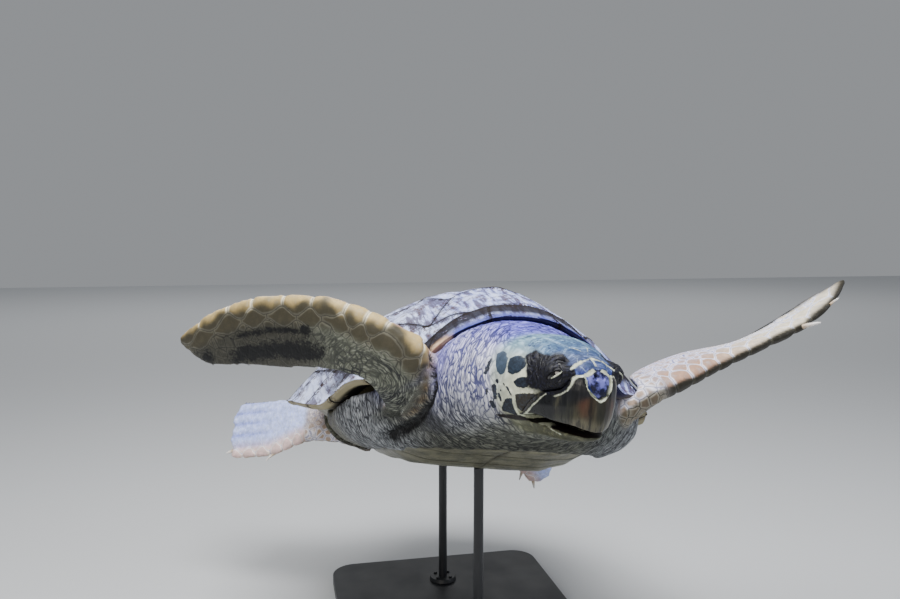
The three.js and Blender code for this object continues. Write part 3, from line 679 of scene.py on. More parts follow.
# %% Outlines of the marks
# Across is |x|, forward is -y and height is z, all in the head's millimetres.

# Cheek plates, seen from the side, each with its colour.
CHEEK_PLATES = [
    ("#4a5664", [
        (76, 24), (72, 32), (79, 36), (90, 34), (96, 27), (98, 18), (96, 10), (92, 6), (85, 9), (79, 17),
    ]),
    ("#2c3541", [
        (100, 21), (98, 29), (104, 33), (112, 34), (121, 31), (127, 25), (126, 20), (120, 14),
        (110, 9), (103, 12),
    ]),
    ("#22252d", [(112, 1), (118, 6), (126, 9), (138, 10), (138, -2), (130, -5), (118, -5)]),
    ("#24262c", [
        (98, -23), (104, -21), (111, -20), (112, -28), (111, -36), (112, -43), (100, -42),
        (90, -40), (91, -33), (94, -28),
    ]),
    ("#3a352d", [
        (116, -15), (125, -12), (134, -11), (142, -10), (149, -12), (146, -19), (137, -26), (128, -34),
        (121, -37), (116, -31),
    ]),
]
# Round spots and short streaks behind the plates: (from, to, half width).
CHEEK_SPOTS = [
    ((86, -1), (87, -2), 2.6), ((98, -4), (99, -5), 1.6), ((92, -13), (92, -12), 1.3),
    ((103, -7), (110, -16), 2.0), ((82, -8), (85, -24), 1.8), ((89, -18), (91, -26), 1.4),
    ((82, -28), (84, -36), 1.3), ((68, 24), (70, 6), 1.7), ((76, -14), (78, -20), 1.1),
]
EYE_PATCH = [
    (121, 34), (127, 41), (138, 38), (152, 38), (160, 40), (169, 36), (183, 28), (187, 20), (189, 11),
    (187, -1), (181, -5), (172, -8), (158, -7), (150, -4), (138, -4), (133, 4), (133, 15), (129, 25),
]
# Pale lines: the view, the half width, and the way of the line.
PALE_LINES = [
    ("side", 1.7, [(113, -15), (112, -28), (113, -39), (122, -42), (131, -35)]),
    ("side", 1.3, [(131, -35), (142, -25), (148, -20)]),
    ("side", 0.9, [(148, -20), (155, -13), (161, -8)]),
    ("front", 0.7, [(44, -9), (39, -5), (36, -1), (33, 5), (30, 14)]),
    ("front", 1.1, [(30, 14), (26, 17), (19, 18), (16, 20)]),
    ("front", 1.5, [(31, 25), (25, 29), (15, 34)]),
    ("front", 0.8, [(15, 34), (0, 38)]),
    ("front", 1.7, [(18.5, 18), (17.5, 10), (16, 3), (11, -4), (5, -9), (0, -11)]),
    ("front", 0.7, [(0, 38), (1, 30)]),
    ("top", 0.7, [(0, 173), (6, 162), (13, 151)]),
    ("side", 0.9, [(140, -46), (151, -48), (167, -57)]),
]
MOUTH = [
    (84, -45), (96, -43), (118, -41), (135, -36.5), (150, -37), (165, -41), (188, -44), (204, -50),
    (196, -51), (172, -48.5), (148, -45.5), (128, -46), (112, -49), (100, -50), (88, -49),
]
NOSE_WEDGE = [(18, 17), (18, 20), (13, 24), (6, 27), (3, 24), (8, 21), (14, 18)]
NOSE_SHIELD = [(-16, 19), (-15, 9), (-10, -3), (0, -9), (10, -3), (15, 9), (16, 19), (12, 26), (-12, 26)]
TOP_PLATES = [
    [(1, 176), (1, 197), (14, 196), (21, 184), (17, 175)],
    [(1, 156), (1, 174), (18, 173), (26, 160), (16, 151)],
    [(28, 160), (18, 150), (22, 126), (44, 130), (42, 148)],
    [(22, 124), (24, 100), (50, 98), (54, 116), (45, 128)],
    [(1, 94), (24, 98), (48, 95), (46, 76), (1, 76)],
    [(0, 154), (14, 149), (20, 126), (21, 96), (0, 96), (-21, 96), (-20, 126), (-14, 149)],
]
print("outlines:", len(CHEEK_PLATES) + len(TOP_PLATES), "plates,", len(PALE_LINES), "pale lines")


# %% Distances to lines and outlines
def to_stroke(p, ends):
    """Distance to a line of straight stretches."""
    best = np.full(len(p), 1e3)
    for a, b in zip(np.array(ends[:-1], float), np.array(ends[1:], float)):
        along_it = np.clip(((p - a) @ (b - a)) / ((b - a) @ (b - a)), 0, 1)
        best = np.minimum(best, np.linalg.norm(p - a - along_it[:, None] * (b - a), axis=1))
    return best


def inside(p, outline):
    """Signed distance to an outline, above 0 inside it."""
    closed = list(outline) + [outline[0]]
    gap = to_stroke(p, closed)
    within = np.zeros(len(p), dtype=bool)
    for (ax, ay), (bx, by) in zip(closed[:-1], closed[1:]):
        if ay == by:
            continue
        crosses = (ay > p[:, 1]) != (by > p[:, 1])
        within ^= crosses & (p[:, 0] < (bx - ax) * (p[:, 1] - ay) / (by - ay) + ax)
    return np.where(within, gap, -gap)


# %% Measure the head
def marks_of(room_points):
    """The distances that paint a head, one for each family of marks, and the plates' own colours."""
    h = inwards(HEAD, room_points)
    across, forward, height = np.abs(h[:, 0]), -h[:, 1], h[:, 2]
    flat_views = {
        "side": np.stack([forward, height], 1),
        "top": np.stack([across, forward], 1),
        "front": np.stack([across, height], 1),
    }
    side_view, front_view = flat_views["side"], flat_views["front"]
    lateral = across > 24
    plate, colour = np.full(len(h), NOWHERE), np.tile(painted(CHEEK_PLATES[0][0]), (len(h), 1))
    for shade, outline in CHEEK_PLATES:
        gap = np.where(lateral, inside(side_view, outline), NOWHERE)
        colour[gap > plate] = painted(shade)
        plate = np.maximum(plate, gap)
    for a, b, half in CHEEK_SPOTS:
        gap = np.where(lateral, half - to_stroke(side_view, [a, b]), NOWHERE)
        colour[gap > plate] = painted("#2b2b33")
        plate = np.maximum(plate, gap)
    line = np.full(len(h), NOWHERE)
    for view, half, way in PALE_LINES:
        there = {"side": lateral, "top": forward > 140, "front": forward > 165}[view]
        line = np.maximum(line, np.where(there, 0.85 * half - to_stroke(flat_views[view], way), NOWHERE))
    on_nose = forward > 186
    line = np.maximum(line, np.where(on_nose, inside(front_view, NOSE_WEDGE), NOWHERE))
    patch = np.where(across > 26, inside(side_view, EYE_PATCH), NOWHERE)
    shield = np.where(on_nose, inside(np.stack([h[:, 0], height], 1), NOSE_SHIELD), NOWHERE)
    top = np.full(len(h), NOWHERE)
    for outline in TOP_PLATES:
        top = np.maximum(top, np.where(height > 18, inside(flat_views["top"], outline), NOWHERE))
    mouth = inside(side_view, MOUTH)
    return plate, line, patch, shield, top, mouth, colour


plate_gap, line_gap, patch_gap, shield_gap, top_gap, mouth_gap, plate_colour = marks_of(points)
# The front of the lower lid's rim joins the pale lines as a painted highlight.
line_gap = np.maximum(line_gap, lid_rim_highlight)
patch_gap = np.where(on_cap, 6.0, patch_gap + 1.5)
print("points in the cheek plates:", int((plate_gap > 0).sum()))

# %% [markdown]
# ## Relief of the skin
#
# What stands out by more than half a millimetre belongs in the mesh, so that it shades and keeps its form
# from every side: the horny plates, the row of large scales on a flipper's leading edge, the folds that
# ring the neck where it draws in, and the pits of the nose. Finer wrinkles are left to the material.

# %% The leading row of scales, and the folds
# Seams of the leading row, in millimetres from the tip: long scales on the blade, short ones at the elbow.
EDGE_SEAMS = {
    "fore": [
        0, 48, 108, 150, 198, 243, 274, 304, 332, 358, 382, 404, 424, 442, 459, 476, 494, 515, 540, 600,
    ],
    "hind": [0, 34, 64, 92, 118, 142, 165, 188, 212, 240, 280, 340, 420],
}
NECK_HUB = Vector((0, -78, -4))
NECK_FOLD, THROAT_FOLD = 12.0, 21.0
# The deep fold where the right arm, bent forward, presses against the neck.
ARM_CREASE = [
    (-124, -368, 53), (-122, -376, 27), (-121, -379, 7), (-124, -372, -13), (-131, -344, -32),
    (-141, -317, -44), (-158, -290, -54),
]

# %% Count the scales of the leading row
edge_index, edge_step = np.zeros(len(points)), np.full(len(points), 30.0)
limb_of = np.full(len(points), "none", dtype="<U10")
for limb, stops in LIMBS.items():
    kind, side = limb.split("_")
    mine = limb_share[limb] > 0.02
    whole = sum((Vector(b[0]) - Vector(a[0])).length for a, b in zip(stops, stops[1:]))
    seams = np.array(EDGE_SEAMS[kind], float)
    from_tip = np.clip(whole - run, 0, seams[-1])
    index = np.interp(from_tip, seams, np.arange(len(seams)))
    edge_index[mine] = index[mine]
    edge_step[mine] = np.diff(seams)[np.clip(index[mine].astype(int), 0, len(seams) - 2)]
    limb_of[mine] = limb

# %% Measure the folds
# Folds ring the neck's hub and, on each limb, a hub behind its elbow or knee.
limb_blend = np.clip(sum(limb_share.values()), 0, 1)
neck_out = np.linalg.norm(inwards(HEAD, points) - np.array(NECK_HUB), axis=1)
elbow_out = neck_out.copy()
for limb, stop in (("fore_left", 3), ("fore_right", 3), ("hind_left", 1), ("hind_right", 1)):
    middle, lead, width = LIMBS[limb][stop]
    hub = np.array(middle) - np.array(unit(np.array(lead, float))) * width * 0.42
    away = np.linalg.norm(in_body - hub, axis=1) + 60
    elbow_out += smoothstep(0.1, 0.9, limb_share[limb]) * (away - elbow_out)
wavering = 5.0 * grain(points, 0.05, 4.0, 2) + 2.0 * grain(points, 0.018, 7.0, 1)
fold = elbow_out + wavering

in_head = inwards(HEAD, points)
throat = smoothstep(-20, -50, in_head[:, 2]) * home_mask("neck", "torso", "lower_jaw", rounds=6)
front_torso = home_mask("torso", rounds=8) * smoothstep(-190, -290, in_body[:, 1])
neck_skin = np.clip(home_mask("neck", rounds=8) + 0.8 * front_torso, 0, 1) * smoothstep(66, 80, neck_out)


def ridges(value, period):
    """Round ridges with narrow valleys between them, from 0 in a valley to 1 on a ridge."""
    return np.abs(np.sin(np.pi * value / period)) ** 0.7


# %% Raise the leading row and the folds
# Each scale of the leading row is domed between its two seams.
scallop = np.mod(edge_index, 1.0) * 2 - 1
edge_row = smoothstep(24, 8, np.abs(behind_edge)) * smoothstep(0.3, 0.9, limb_blend)
height = 2.6 * edge_row * (1 - scallop**4 - 0.45)
# Folds are close on the neck, wide and deep on the throat, and shallow on arms and thighs.
height += neck_skin * 1.3 * (ridges(fold, NECK_FOLD) - 0.7) * (1 - throat)
height += neck_skin * 3.2 * (ridges(fold + 3, THROAT_FOLD) - 0.7) * throat
arm_skin = home_mask(*of_sides("upper_arm"), rounds=5) + home_mask(*of_sides("thigh"), rounds=5)
height += 0.7 * arm_skin * (ridges(fold, 9.0) - 0.7)
# The fingers of a hind flipper are ridges under its skin.
digits = home_mask(*of_sides("hind_flipper"), rounds=8) * smoothstep(190, 270, run)
height += 2.6 * digits * (ridges(behind_edge, 24.0) - 0.65)
# The bent arm sinks into a crease and pushes up a fold beside it.
crease_gap = to_stroke(in_body, ARM_CREASE)
height += 4.0 * bump(crease_gap, 24, 12) * (in_body[:, 0] < -138) - 8.0 * bump(crease_gap, 0, 6)
print("folds and scales from", round(float(height.min()), 1), "to", round(float(height.max()), 1), "mm")

# %% Raise the plates, ring the eyes and sink the nostrils
raised_plates = 0.75 * smoothstep(-0.4, 1.4, plate_gap) + 0.6 * smoothstep(0.2, 1.8, top_gap)
on_lid = np.clip(lid_fold, 0, 1)
height += raised_plates * (1 - on_lid)
wrinkled_patch = smoothstep(-1, 2, patch_gap) * (1 - on_lid)
from_eye = np.hypot(in_head[:, 1] - EYE_PLACE.y, in_head[:, 2] - EYE_PLACE.z)
height += 0.7 * wrinkled_patch * (ridges(from_eye + wavering * 0.3, 3.2) - 0.6)
height = np.where(on_cap, SWELL, height)
snout = in_head[:, 1] < -188
for side in (1, -1):
    sideways = in_head[:, 0] - side * 5.2
    upwards = in_head[:, 2] - 16.8 - 0.12 * side * in_head[:, 0]
    nostril = np.hypot(sideways / 1.9, upwards / 3.4)
    height -= 4.2 * (1 - smoothstep(0.55, 1.25, nostril)) * snout
    height += 0.5 * bump(nostril, 1.6, 0.4) * snout
    mouth_gap = np.where((nostril < 1) & snout, 3.0, mouth_gap)

# Give back the swell that joined the parts, and lift the relief.
points = points + normals_of(skin_mesh) * ((height - SWELL) * MM)[:, None]
put_points(skin_mesh, points)
print("relief from", round(float(height.min()), 1), "to", round(float(height.max()), 1), "mm")

# %% [markdown]
# ## Colours of the skin
#
# The colours change slowly over the animal: violet on the neck's back, pale lilac on its sides, olive grey
# below, darker there partly as painted shade from the light above. They are laid as broad dabs, each with a
# place in the body's axes, a reach and three colours: the light of a scale's rim and the painted highlight
# on a fold, the tone of the skin itself, and the dark of its seams and the painted shade of its creases. A
# near-black dab paints the shade in the fold between the bent arm and the neck. Every point takes a blend
# of the dabs near it, as an airbrush would leave it.

# %% Dabs of colour
# Place (|x|, y, z), reach, light, tone, crease.
TRUNK_DABS = [
    ((0, -395, 105), 60, "#a4a6ee", "#8482dc", "#292a68"),
    ((60, -350, 92), 45, "#8c8ce0", "#6e6cc8", "#201f58"),
    ((82, -434, 14), 34, "#fafaff", "#e4e5f8", "#62648c"),
    ((112, -380, 45), 24, "#a8a6ea", "#8c88d8", "#262560"),
    ((200, -270, -36), 36, "#c4c7c9", "#989b9f", "#2f3138"),
    ((92, -385, 60), 36, "#e2e1fc", "#c4c3f0", "#484888"),
    ((84, -400, 15), 38, "#f6f6fe", "#dadbee", "#56587a"),
    ((116, -336, 48), 26, "#9a9ce0", "#6c6fb8", "#1e1e50"),
    ((114, -356, 12), 24, "#b8b9dc", "#8e90b6", "#2c2c56"),
    ((84, -395, -25), 30, "#c8cace", "#94979c", "#34363c"),
    # Painted shade: a near-black dab in the fold between the bent arm and the neck, on both sides.
    ((112, -358, -34), 18, "#3a3b42", "#222329", "#0c0c10"),
    ((152, -330, 16), 22, "#a4a69c", "#74776c", "#202124"),
    ((152, -312, -22), 22, "#8c8f88", "#62655e", "#1b1c20"),
    # Dabs low on the throat and the belly are a darker olive grey, partly painted shade from the light
    # above.
    ((40, -405, -50), 50, "#94968b", "#7b7d73", "#323431"),
    ((0, -330, -85), 70, "#7a7c73", "#62645d", "#282a29"),
    ((150, -290, 24), 30, "#b4b8ec", "#7a7fc0", "#1a1b3c"),
    ((165, -262, -45), 45, "#a6a9ab", "#7c8083", "#26272c"),
    ((0, -250, -110), 90, "#6a6a5e", "#4a4a42", "#23231e"),
    ((200, 0, -60), 110, "#8d8b78", "#66655a", "#33332c"),
    ((120, 200, -60), 90, "#8b8984", "#64645e", "#33332f"),
    ((0, 340, -40), 90, "#8a8a8c", "#606166", "#2c2d33"),
]


def airbrushed(places, dabs):
    total = np.full(len(places), 1e-9)
    tones = np.zeros((3, len(places), 3))
    for place, reach, *shades in dabs:
        gap = np.linalg.norm(places - np.array(place), axis=1)
        weight = np.exp(-((gap / reach) ** 2)) + 1e-5 / (1 + (gap / reach) ** 4)
        total += weight
        for tone, shade in zip(tones, shades):
            tone += weight[:, None] * painted(shade)
    return tones / total[:, None]


mirrored = np.stack([np.abs(in_body[:, 0]), in_body[:, 1], in_body[:, 2]], 1)
light, tone, crease = airbrushed(mirrored, TRUNK_DABS)

# %% Colours of the head
HEAD_DABS = [
    # Place (|x|, forward, height), reach, light, tone, crease.
    # The top of the head is pale blue, partly a painted sheen of the light from above.
    ((20, 90, 52), 34, "#abc4d2", "#7c9bb0", "#2a3f58"),
    ((20, 140, 50), 28, "#88a2be", "#587391", "#20304c"),
    ((14, 176, 36), 24, "#7784ac", "#3d476b", "#161c3a"),
    ((48, 85, 44), 18, "#9fbecb", "#6a8c9e", "#2c3e4c"),
    ((70, 90, 10), 30, "#d6dcda", "#bfc8c4", "#484d54"),
    ((66, 115, 5), 20, "#f4f2dc", "#e6e6cb", "#44443e"),
    ((66, 105, -20), 22, "#eceedd", "#dcdec8", "#3f403c"),
    # Under the jaw the skin is a darker olive, partly painted shade.
    ((56, 110, -54), 24, "#84866f", "#5a5c4a", "#26271f"),
    ((36, 150, -64), 30, "#7a7a60", "#52523f", "#22221b"),
    ((0, 130, -72), 40, "#75766a", "#50524a", "#21221e"),
    ((20, 196, 6), 16, "#6a7cd0", "#303d8c", "#0f1330"),
]
head_view = np.stack([np.abs(in_head[:, 0]), -in_head[:, 1], in_head[:, 2]], 1)
head_share = home_mask("head", "lower_jaw", rounds=8) * smoothstep(40, 86, -in_head[:, 1])
head_share = np.clip(head_share, 0, 1)[:, None]
for colour, own in zip((light, tone, crease), airbrushed(head_view, HEAD_DABS)):
    colour += head_share * (own - colour)

# %% Colours of the limbs
# For each side of a flipper: light, tone and crease, first at the leading edge and then behind it.
UPPER_LEAD = ("#f4f1fa", "#b49684", "#7d82b8")
UPPER_REST = ("#eeebfa", "#b8a4a2", "#777cb4")
UPPER_TIP = ("#fafaff", "#ece5d2", "#c2c8e4")
# The lower side is painted darker than the upper, partly as shade from the light above.
LOWER_LEAD = ("#f0e8d0", "#c4b084", "#9a988c")
LOWER_NEXT = ("#706d61", "#545042", "#48473f")
# Painted shade for the lower side of the left fore flipper.
LOWER_PAINTED_SHADE = ("#4a473c", "#2e2b24", "#1c1c1a")
LOWER_REST = ("#5c5b52", "#43423b", "#1a1a1c")
LOWER_ELBOW = ("#9c9f92", "#6f7266", "#25272c")
UPPER_HIND = ("#dde5ff", "#c2cefb", "#a6b4ee")
HIND_LEAD = ("#f8eee4", "#e0c9c6", "#b4aad0")


def shades(names):
    return np.array([painted(name) for name in names])[:, None, :]


def laid(base, over, share):
    """Lays three colours over three, by a share for each point."""
    return base + np.reshape(share, (1, -1, 1)) * (over - base)


# %% Lay the colours on the limbs
# On the left fore flipper the darker lower colours reach further up, to paint the shaded band under its
# leading edge.
upper = smoothstep(-2.0, 2.0, face - np.where(limb_of == "fore_left", 4.2, 0))
lead = smoothstep(40, 12, behind_edge)
tip = smoothstep(8.0, 3.0, edge_index) * smoothstep(0.2, 1, limb_blend)
top_side = laid(laid(shades(UPPER_REST), shades(UPPER_LEAD), lead), shades(UPPER_TIP), 0.85 * tip)
under_side = laid(shades(LOWER_REST), shades(LOWER_ELBOW), smoothstep(360, 275, run))
under_side = laid(under_side, shades(LOWER_NEXT), smoothstep(42, 26, behind_edge))
# Along the top edge of the lower side the scales are gilt, partly a painted highlight; the left fore
# flipper's lower side is darkened instead, as painted shade.
gilt_and_edge_highlight = smoothstep(12, 0, behind_edge + 8 * grain(points, 0.022, 3.0, 2)) * (limb_of != "fore_left")
under_side = laid(under_side, shades(LOWER_PAINTED_SHADE), 0.85 * (limb_of == "fore_left"))
under_side = laid(under_side, shades(LOWER_LEAD), gilt_and_edge_highlight)
hind = np.char.startswith(limb_of, "hind").astype(float)
hind_top = laid(shades(UPPER_HIND), shades(HIND_LEAD), lead)
# Between the finger ridges the blue is darker, as painted shade in the grooves.
between_digits = digits * (1 - ridges(behind_edge, 24.0)) * (1 - lead)
hind_top = laid(hind_top, shades(("#8f98dc", "#7f88d0", "#6f78c4")), 0.7 * between_digits)
top_side = laid(top_side, hind_top, hind)
limb_shades = laid(under_side, top_side, upper)
blade = home_mask(*of_sides("fore_flipper"), *of_sides("hind_flipper"), rounds=8)
light, tone, crease = laid(np.array([light, tone, crease]), limb_shades, blade)
arm = home_mask(*of_sides("upper_arm"), *of_sides("thigh"), rounds=6)
# The lower side of an arm is a darker olive grey, partly painted shade from the light above.
ARM_UPPER, ARM_LOWER = ("#f4f1f8", "#c0aa96", "#a3a4c0"), ("#94978c", "#63665e", "#1c1d20")
arm_shades = laid(shades(ARM_LOWER), shades(ARM_UPPER), upper)
arm_rim = (1 - upper) * smoothstep(20, 10, behind_edge)
arm_shades = laid(arm_shades, shades(("#8f8876", "#6a5c44", "#2a2824")), arm_rim)
light, tone, crease = laid(np.array([light, tone, crease]), arm_shades, 0.85 * arm)
# The bent right arm is olive down to its fold, with brown scales along its front.
bent_arm = smoothstep(-121, -129, in_body[:, 0]) * smoothstep(46, 30, crease_gap) * (1 - blade)
bent_arm *= smoothstep(60, 46, in_body[:, 2]) * smoothstep(-42, -18, in_body[:, 2])
light, tone, crease = laid(np.array([light, tone, crease]), shades(ARM_LOWER), 0.95 * bent_arm)
bead = np.abs(np.sin(np.pi * in_body[:, 2] / 15)) ** 0.5 * bump(crease_gap, 11, 6) * bent_arm
tone += 0.8 * bead[:, None] * (painted("#6d5a42") - tone)
light += 0.8 * bead[:, None] * (painted("#94856c") - light)
print("share of the skin on flippers:", round(float((blade > 0.5).mean()), 2))

# %% Dark blotches and painted shade
# The dark blotches on the lower side of a fore flipper, in two long bands behind its leading scales.
fore = np.char.startswith(limb_of, "fore").astype(float)
thin_band = 0.85 * bump(behind_edge, 43, 6) * smoothstep(310, 360, run) * smoothstep(490, 430, run)
blot = bump(np.hypot(run - 334, behind_edge - 42), 0, 11)
bent_edge = behind_edge + 9 * grain(points, 0.03, 5.0, 2)
broad_band = 1.1 * bump(bent_edge, 70, 15) * smoothstep(275, 345, run) * smoothstep(515, 440, run)
trailing = 0.8 * bump(np.hypot(run - 515, behind_edge - 52), 0, 15)
bands = np.maximum(np.maximum(thin_band, blot), np.maximum(broad_band, trailing))
dark_blotches_and_shade = fore * (1 - upper) * bands * smoothstep(0.2, 0.8, limb_blend)
# The fold between arm and neck is painted black at its bottom, as shade.
crease_wide = 5.5 + 8 * smoothstep(-18, -40, in_body[:, 2])
dark_blotches_and_shade = np.maximum(dark_blotches_and_shade, 0.9 * bump(crease_gap / crease_wide, 0, 1))
print("sooty share:", round(float((dark_blotches_and_shade > 0.5).mean()), 3))

# %% What the material draws, and where
rows = smoothstep(0.15, 0.6, limb_blend) * blade
arm_scales = 1.4 * arm * np.maximum(upper, limb_of == "fore_left")
scales = np.clip(blade * smoothstep(0.35, 0.75, blade) + arm_scales, 0, 1)
scales *= 1 - (1 - upper) * np.maximum(0.5, smoothstep(335, 285, run)) * smoothstep(30, 44, behind_edge)
scales *= 1 - 0.75 * hind * (1 - lead)
net_place = np.linalg.norm(mirrored - (125, -330, 35), axis=1)
pebbles = np.clip(bump(net_place, 0, 42) * 1.2, 0, 1) * (1 - limb_blend)
elbow_net = bump(np.hypot(run - 262, behind_edge - 68), 0, 34) * fore * (1 - upper)
pebbles = np.clip(pebbles + 1.3 * elbow_net, 0, 1)
smooth_head = head_share[:, 0] * (0.6 + 0.4 * smoothstep(70, 100, -in_head[:, 1]))
wrinkles = np.clip(1 - scales - 0.6 * pebbles, 0, 1) * (1 - 0.95 * smooth_head)
wrinkles *= 1 - 0.8 * blade * np.maximum(hind, smoothstep(290, 350, run))
lid_or_patch = np.clip(on_lid + smoothstep(-0.5, 1.5, patch_gap), 0, 1)
print("wrinkled share:", round(float(wrinkles.mean()), 2), "scaled share:", round(float(scales.mean()), 2))


# %% Keep it all on the mesh
def keep_marks(mesh, marks):
    """Stores the distances that paint the head."""
    plate, line, patch, shield, top, mouth, colour = marks
    store(mesh, "marks", np.stack([plate, line, patch], 1))
    store(mesh, "more_marks", np.stack([shield, top, mouth], 1))
    store(mesh, "plate_colour", colour)


# The floor and the roof of the open mouth are painted as flesh.
head_normals = normals_of(skin_mesh) @ np.array(HEAD.to_3x3()) / (HEAD_WIDTH / HEAD_DRAWN)
in_mouth = home_mask("head", "lower_jaw", "neck") * (in_head[:, 2] < -30) * (-in_head[:, 1] > 84)
palate_or_floor = in_mouth * (np.abs(in_head[:, 0]) < 50) * np.where(
    in_head[:, 2] > -44, head_normals[:, 2] < -0.5, head_normals[:, 2] > 0.6
)
mouth_gap = np.where(spread(palate_or_floor.astype(float), edges, 1) > 0.4, 3.0, mouth_gap)
keep_marks(skin_mesh, (plate_gap, line_gap, patch_gap, shield_gap, top_gap, mouth_gap, plate_colour))
for name, values in (("light", light), ("tone", tone), ("crease", crease)):
    store(skin_mesh, name, values)
# On an arm the rows give way to small cells, so its points count as far behind the leading edge.
store(skin_mesh, "limb", np.stack([edge_index, behind_edge + 60 * arm, edge_step], 1))
store(skin_mesh, "drawn", np.stack([rows, scales, wrinkles], 1))
store(skin_mesh, "spots", np.stack([pebbles, dark_blotches_and_shade, lid_or_patch], 1))
store(skin_mesh, "fold", fold)
print("kept on the skin:", ", ".join(layer.name for layer in skin_mesh.attributes))


# %% [markdown]
# ## The shell as one smooth dome
#
# A carapace is bone under thin horn. Seen from above its rim is a rounded heart, and every line from the
# crown to the rim is the same arch. So the dome can be a plain grid wrapped round: one direction of the
# grid runs along the rim, the other runs from the crown over the rim's edge and back underneath. A grid
# keeps its quads even and its surface free of the facets that the frame has.

# %% The shell's curves
CROWN_PLACE = -0.1 * SHELL
RIM_HALF = [
    (0.0, -0.5), (0.075, -0.494), (0.17, -0.468), (0.277, -0.385), (0.341, -0.255), (0.388, -0.09),
    (0.396, 0.07), (0.365, 0.22), (0.285, 0.35), (0.165, 0.445), (0.055, 0.492),
]
RIM_HEIGHT = [
    (-0.5, 0.149), (-0.44, 0.027), (-0.385, 0.029), (-0.255, -0.016),
    (-0.05, -0.004), (0.1, 0.0), (0.32, 0.02), (0.5, -0.005),
]


# %% Curves through knots
def profile(knots):
    """A smooth function through (place, value) knots that never overshoots them."""
    place, value = np.array(knots, dtype=float).T
    rise = np.diff(value) / np.diff(place)
    slope = np.concatenate([rise[:1], np.zeros(len(rise) - 1), rise[-1:]])
    for i in range(1, len(rise)):
        if rise[i - 1] * rise[i] > 0:
            slope[i] = 2 * rise[i - 1] * rise[i] / (rise[i - 1] + rise[i])

    def at(t):
        i = np.clip(np.searchsorted(place, t, side="right") - 1, 0, len(rise) - 1)
        wide = place[i + 1] - place[i]
        s = np.clip((t - place[i]) / wide, 0, 1)
        h = s * s * (3 - 2 * s)
        bend = slope[i] * s * (1 - s) ** 2 + slope[i + 1] * s * s * (s - 1)
        return value[i] + (value[i + 1] - value[i]) * h + bend * wide

    return at


def closed_curve(knots, samples=60):
    """A centripetal curve round through the knots: points at equal steps, with the curve's length."""
    knots = np.array(knots, dtype=float)
    ahead, beyond, behind = (np.roll(knots, k, axis=0) for k in (-1, -2, 1))
    spans = (knots - behind, ahead - knots, beyond - ahead)
    d0, d1, d2 = (np.linalg.norm(span, axis=1)[:, None] ** 0.5 for span in spans)
    leave = ((knots - behind) / d0 - (ahead - behind) / (d0 + d1) + (ahead - knots) / d1) * d1
    arrive = ((ahead - knots) / d1 - (beyond - knots) / (d1 + d2) + (beyond - ahead) / d2) * d1
    s = np.linspace(0, 1, samples, endpoint=False)[None, :, None]
    knots, ahead, leave, arrive = (a[:, None, :] for a in (knots, ahead, leave, arrive))
    c2 = -3 * knots + 3 * ahead - 2 * leave - arrive
    c3 = 2 * knots - 2 * ahead + leave + arrive
    curve = (knots + leave * s + c2 * s**2 + c3 * s**3).reshape(-1, knots.shape[-1])
    curve = np.vstack([curve, curve[:1]])
    run = np.concatenate([[0], np.cumsum(np.linalg.norm(np.diff(curve, axis=0), axis=1))])
    return curve, run / run[-1], run[-1]


# %% The rim and the dome
rim_knots = RIM_HALF + [(0.0, 0.5)] + [(-x, y) for x, y in RIM_HALF[:0:-1]]
rim_line, rim_share, RIM_LENGTH = closed_curve(np.array(rim_knots) * SHELL)
rim_height = profile(np.array(RIM_HEIGHT) * (1, SHELL))


def rim_at(along):
    """The rim's points in plan at shares of the way round it, from the front over the left side."""
    along = np.mod(along, 1.0)
    return np.stack([np.interp(along, rim_share, rim_line[:, i]) for i in (0, 1)], 1)


def dome(on_rim, share):
    """Points of the dome in body axes: share 0 is the crown, 1 is the rim."""
    x = on_rim[:, 0] * share
    y = CROWN_PLACE + (on_rim[:, 1] - CROWN_PLACE) * share
    edge = rim_height(on_rim[:, 1] / SHELL)
    arch = np.clip(1 - np.clip(share, 0, 1) ** 2.3, 0, 1) ** 1.12
    keel = 5 * np.exp(-((x / 20) ** 2)) * (1 - share)
    return np.stack([x, y, edge + (CROWN - edge) * arch + keel], 1)


print("length round the rim:", round(RIM_LENGTH), "mm")

# %% Wrap the grid round
AROUND, ACROSS = 470, 190
SCUTE_RISE = 2.4
# Down the grid: how far over the dome, how far below the rim's line, and how raised the horn is.
FOLD = np.array([0, 0.76, 0.79, 0.82, 0.86, 0.93, 1.0])
FOLD_SHARE = np.array([0, 1.0, 1.004, 0.992, 0.96, 0.8, 0.0])
FOLD_DROP = np.array([0, 0, 3.5, 8.5, 11, 4, -10])
FOLD_RISE = np.array([1, 1, 1, 0.8, 0.3, 0, 0])

shell_bm = bmesh.new()
bmesh.ops.create_grid(shell_bm, x_segments=AROUND, y_segments=ACROSS, size=0.5)
flat = np.array([v.co for v in shell_bm.verts]) + 0.5
along, down = flat[:, 0], flat[:, 1]
share = np.interp(down, FOLD, FOLD_SHARE)
drop = np.interp(down, FOLD, FOLD_DROP)
on_rim = rim_at(along)
place = dome(on_rim, share)
under = down > 0.76
place[under, 2] = (rim_height(on_rim[:, 1] / SHELL) - drop)[under]
for v, p in zip(shell_bm.verts, outwards(BODY, place)):
    v.co = p

# %% [markdown]
# ## Scutes
#
# The horn is parted into scutes: five along the spine, five on each side and a belt round the rim. A seam
# has to stay a crisp line however coarse the net is, so the mesh does not draw it. Each point keeps how
# far it is from each family of seams, with a sign where a side matters, and the material draws the line
# where that distance is zero. The mesh only carries the soft form: a shallow valley along each seam and a
# low knob at the back of each scute of the spine.

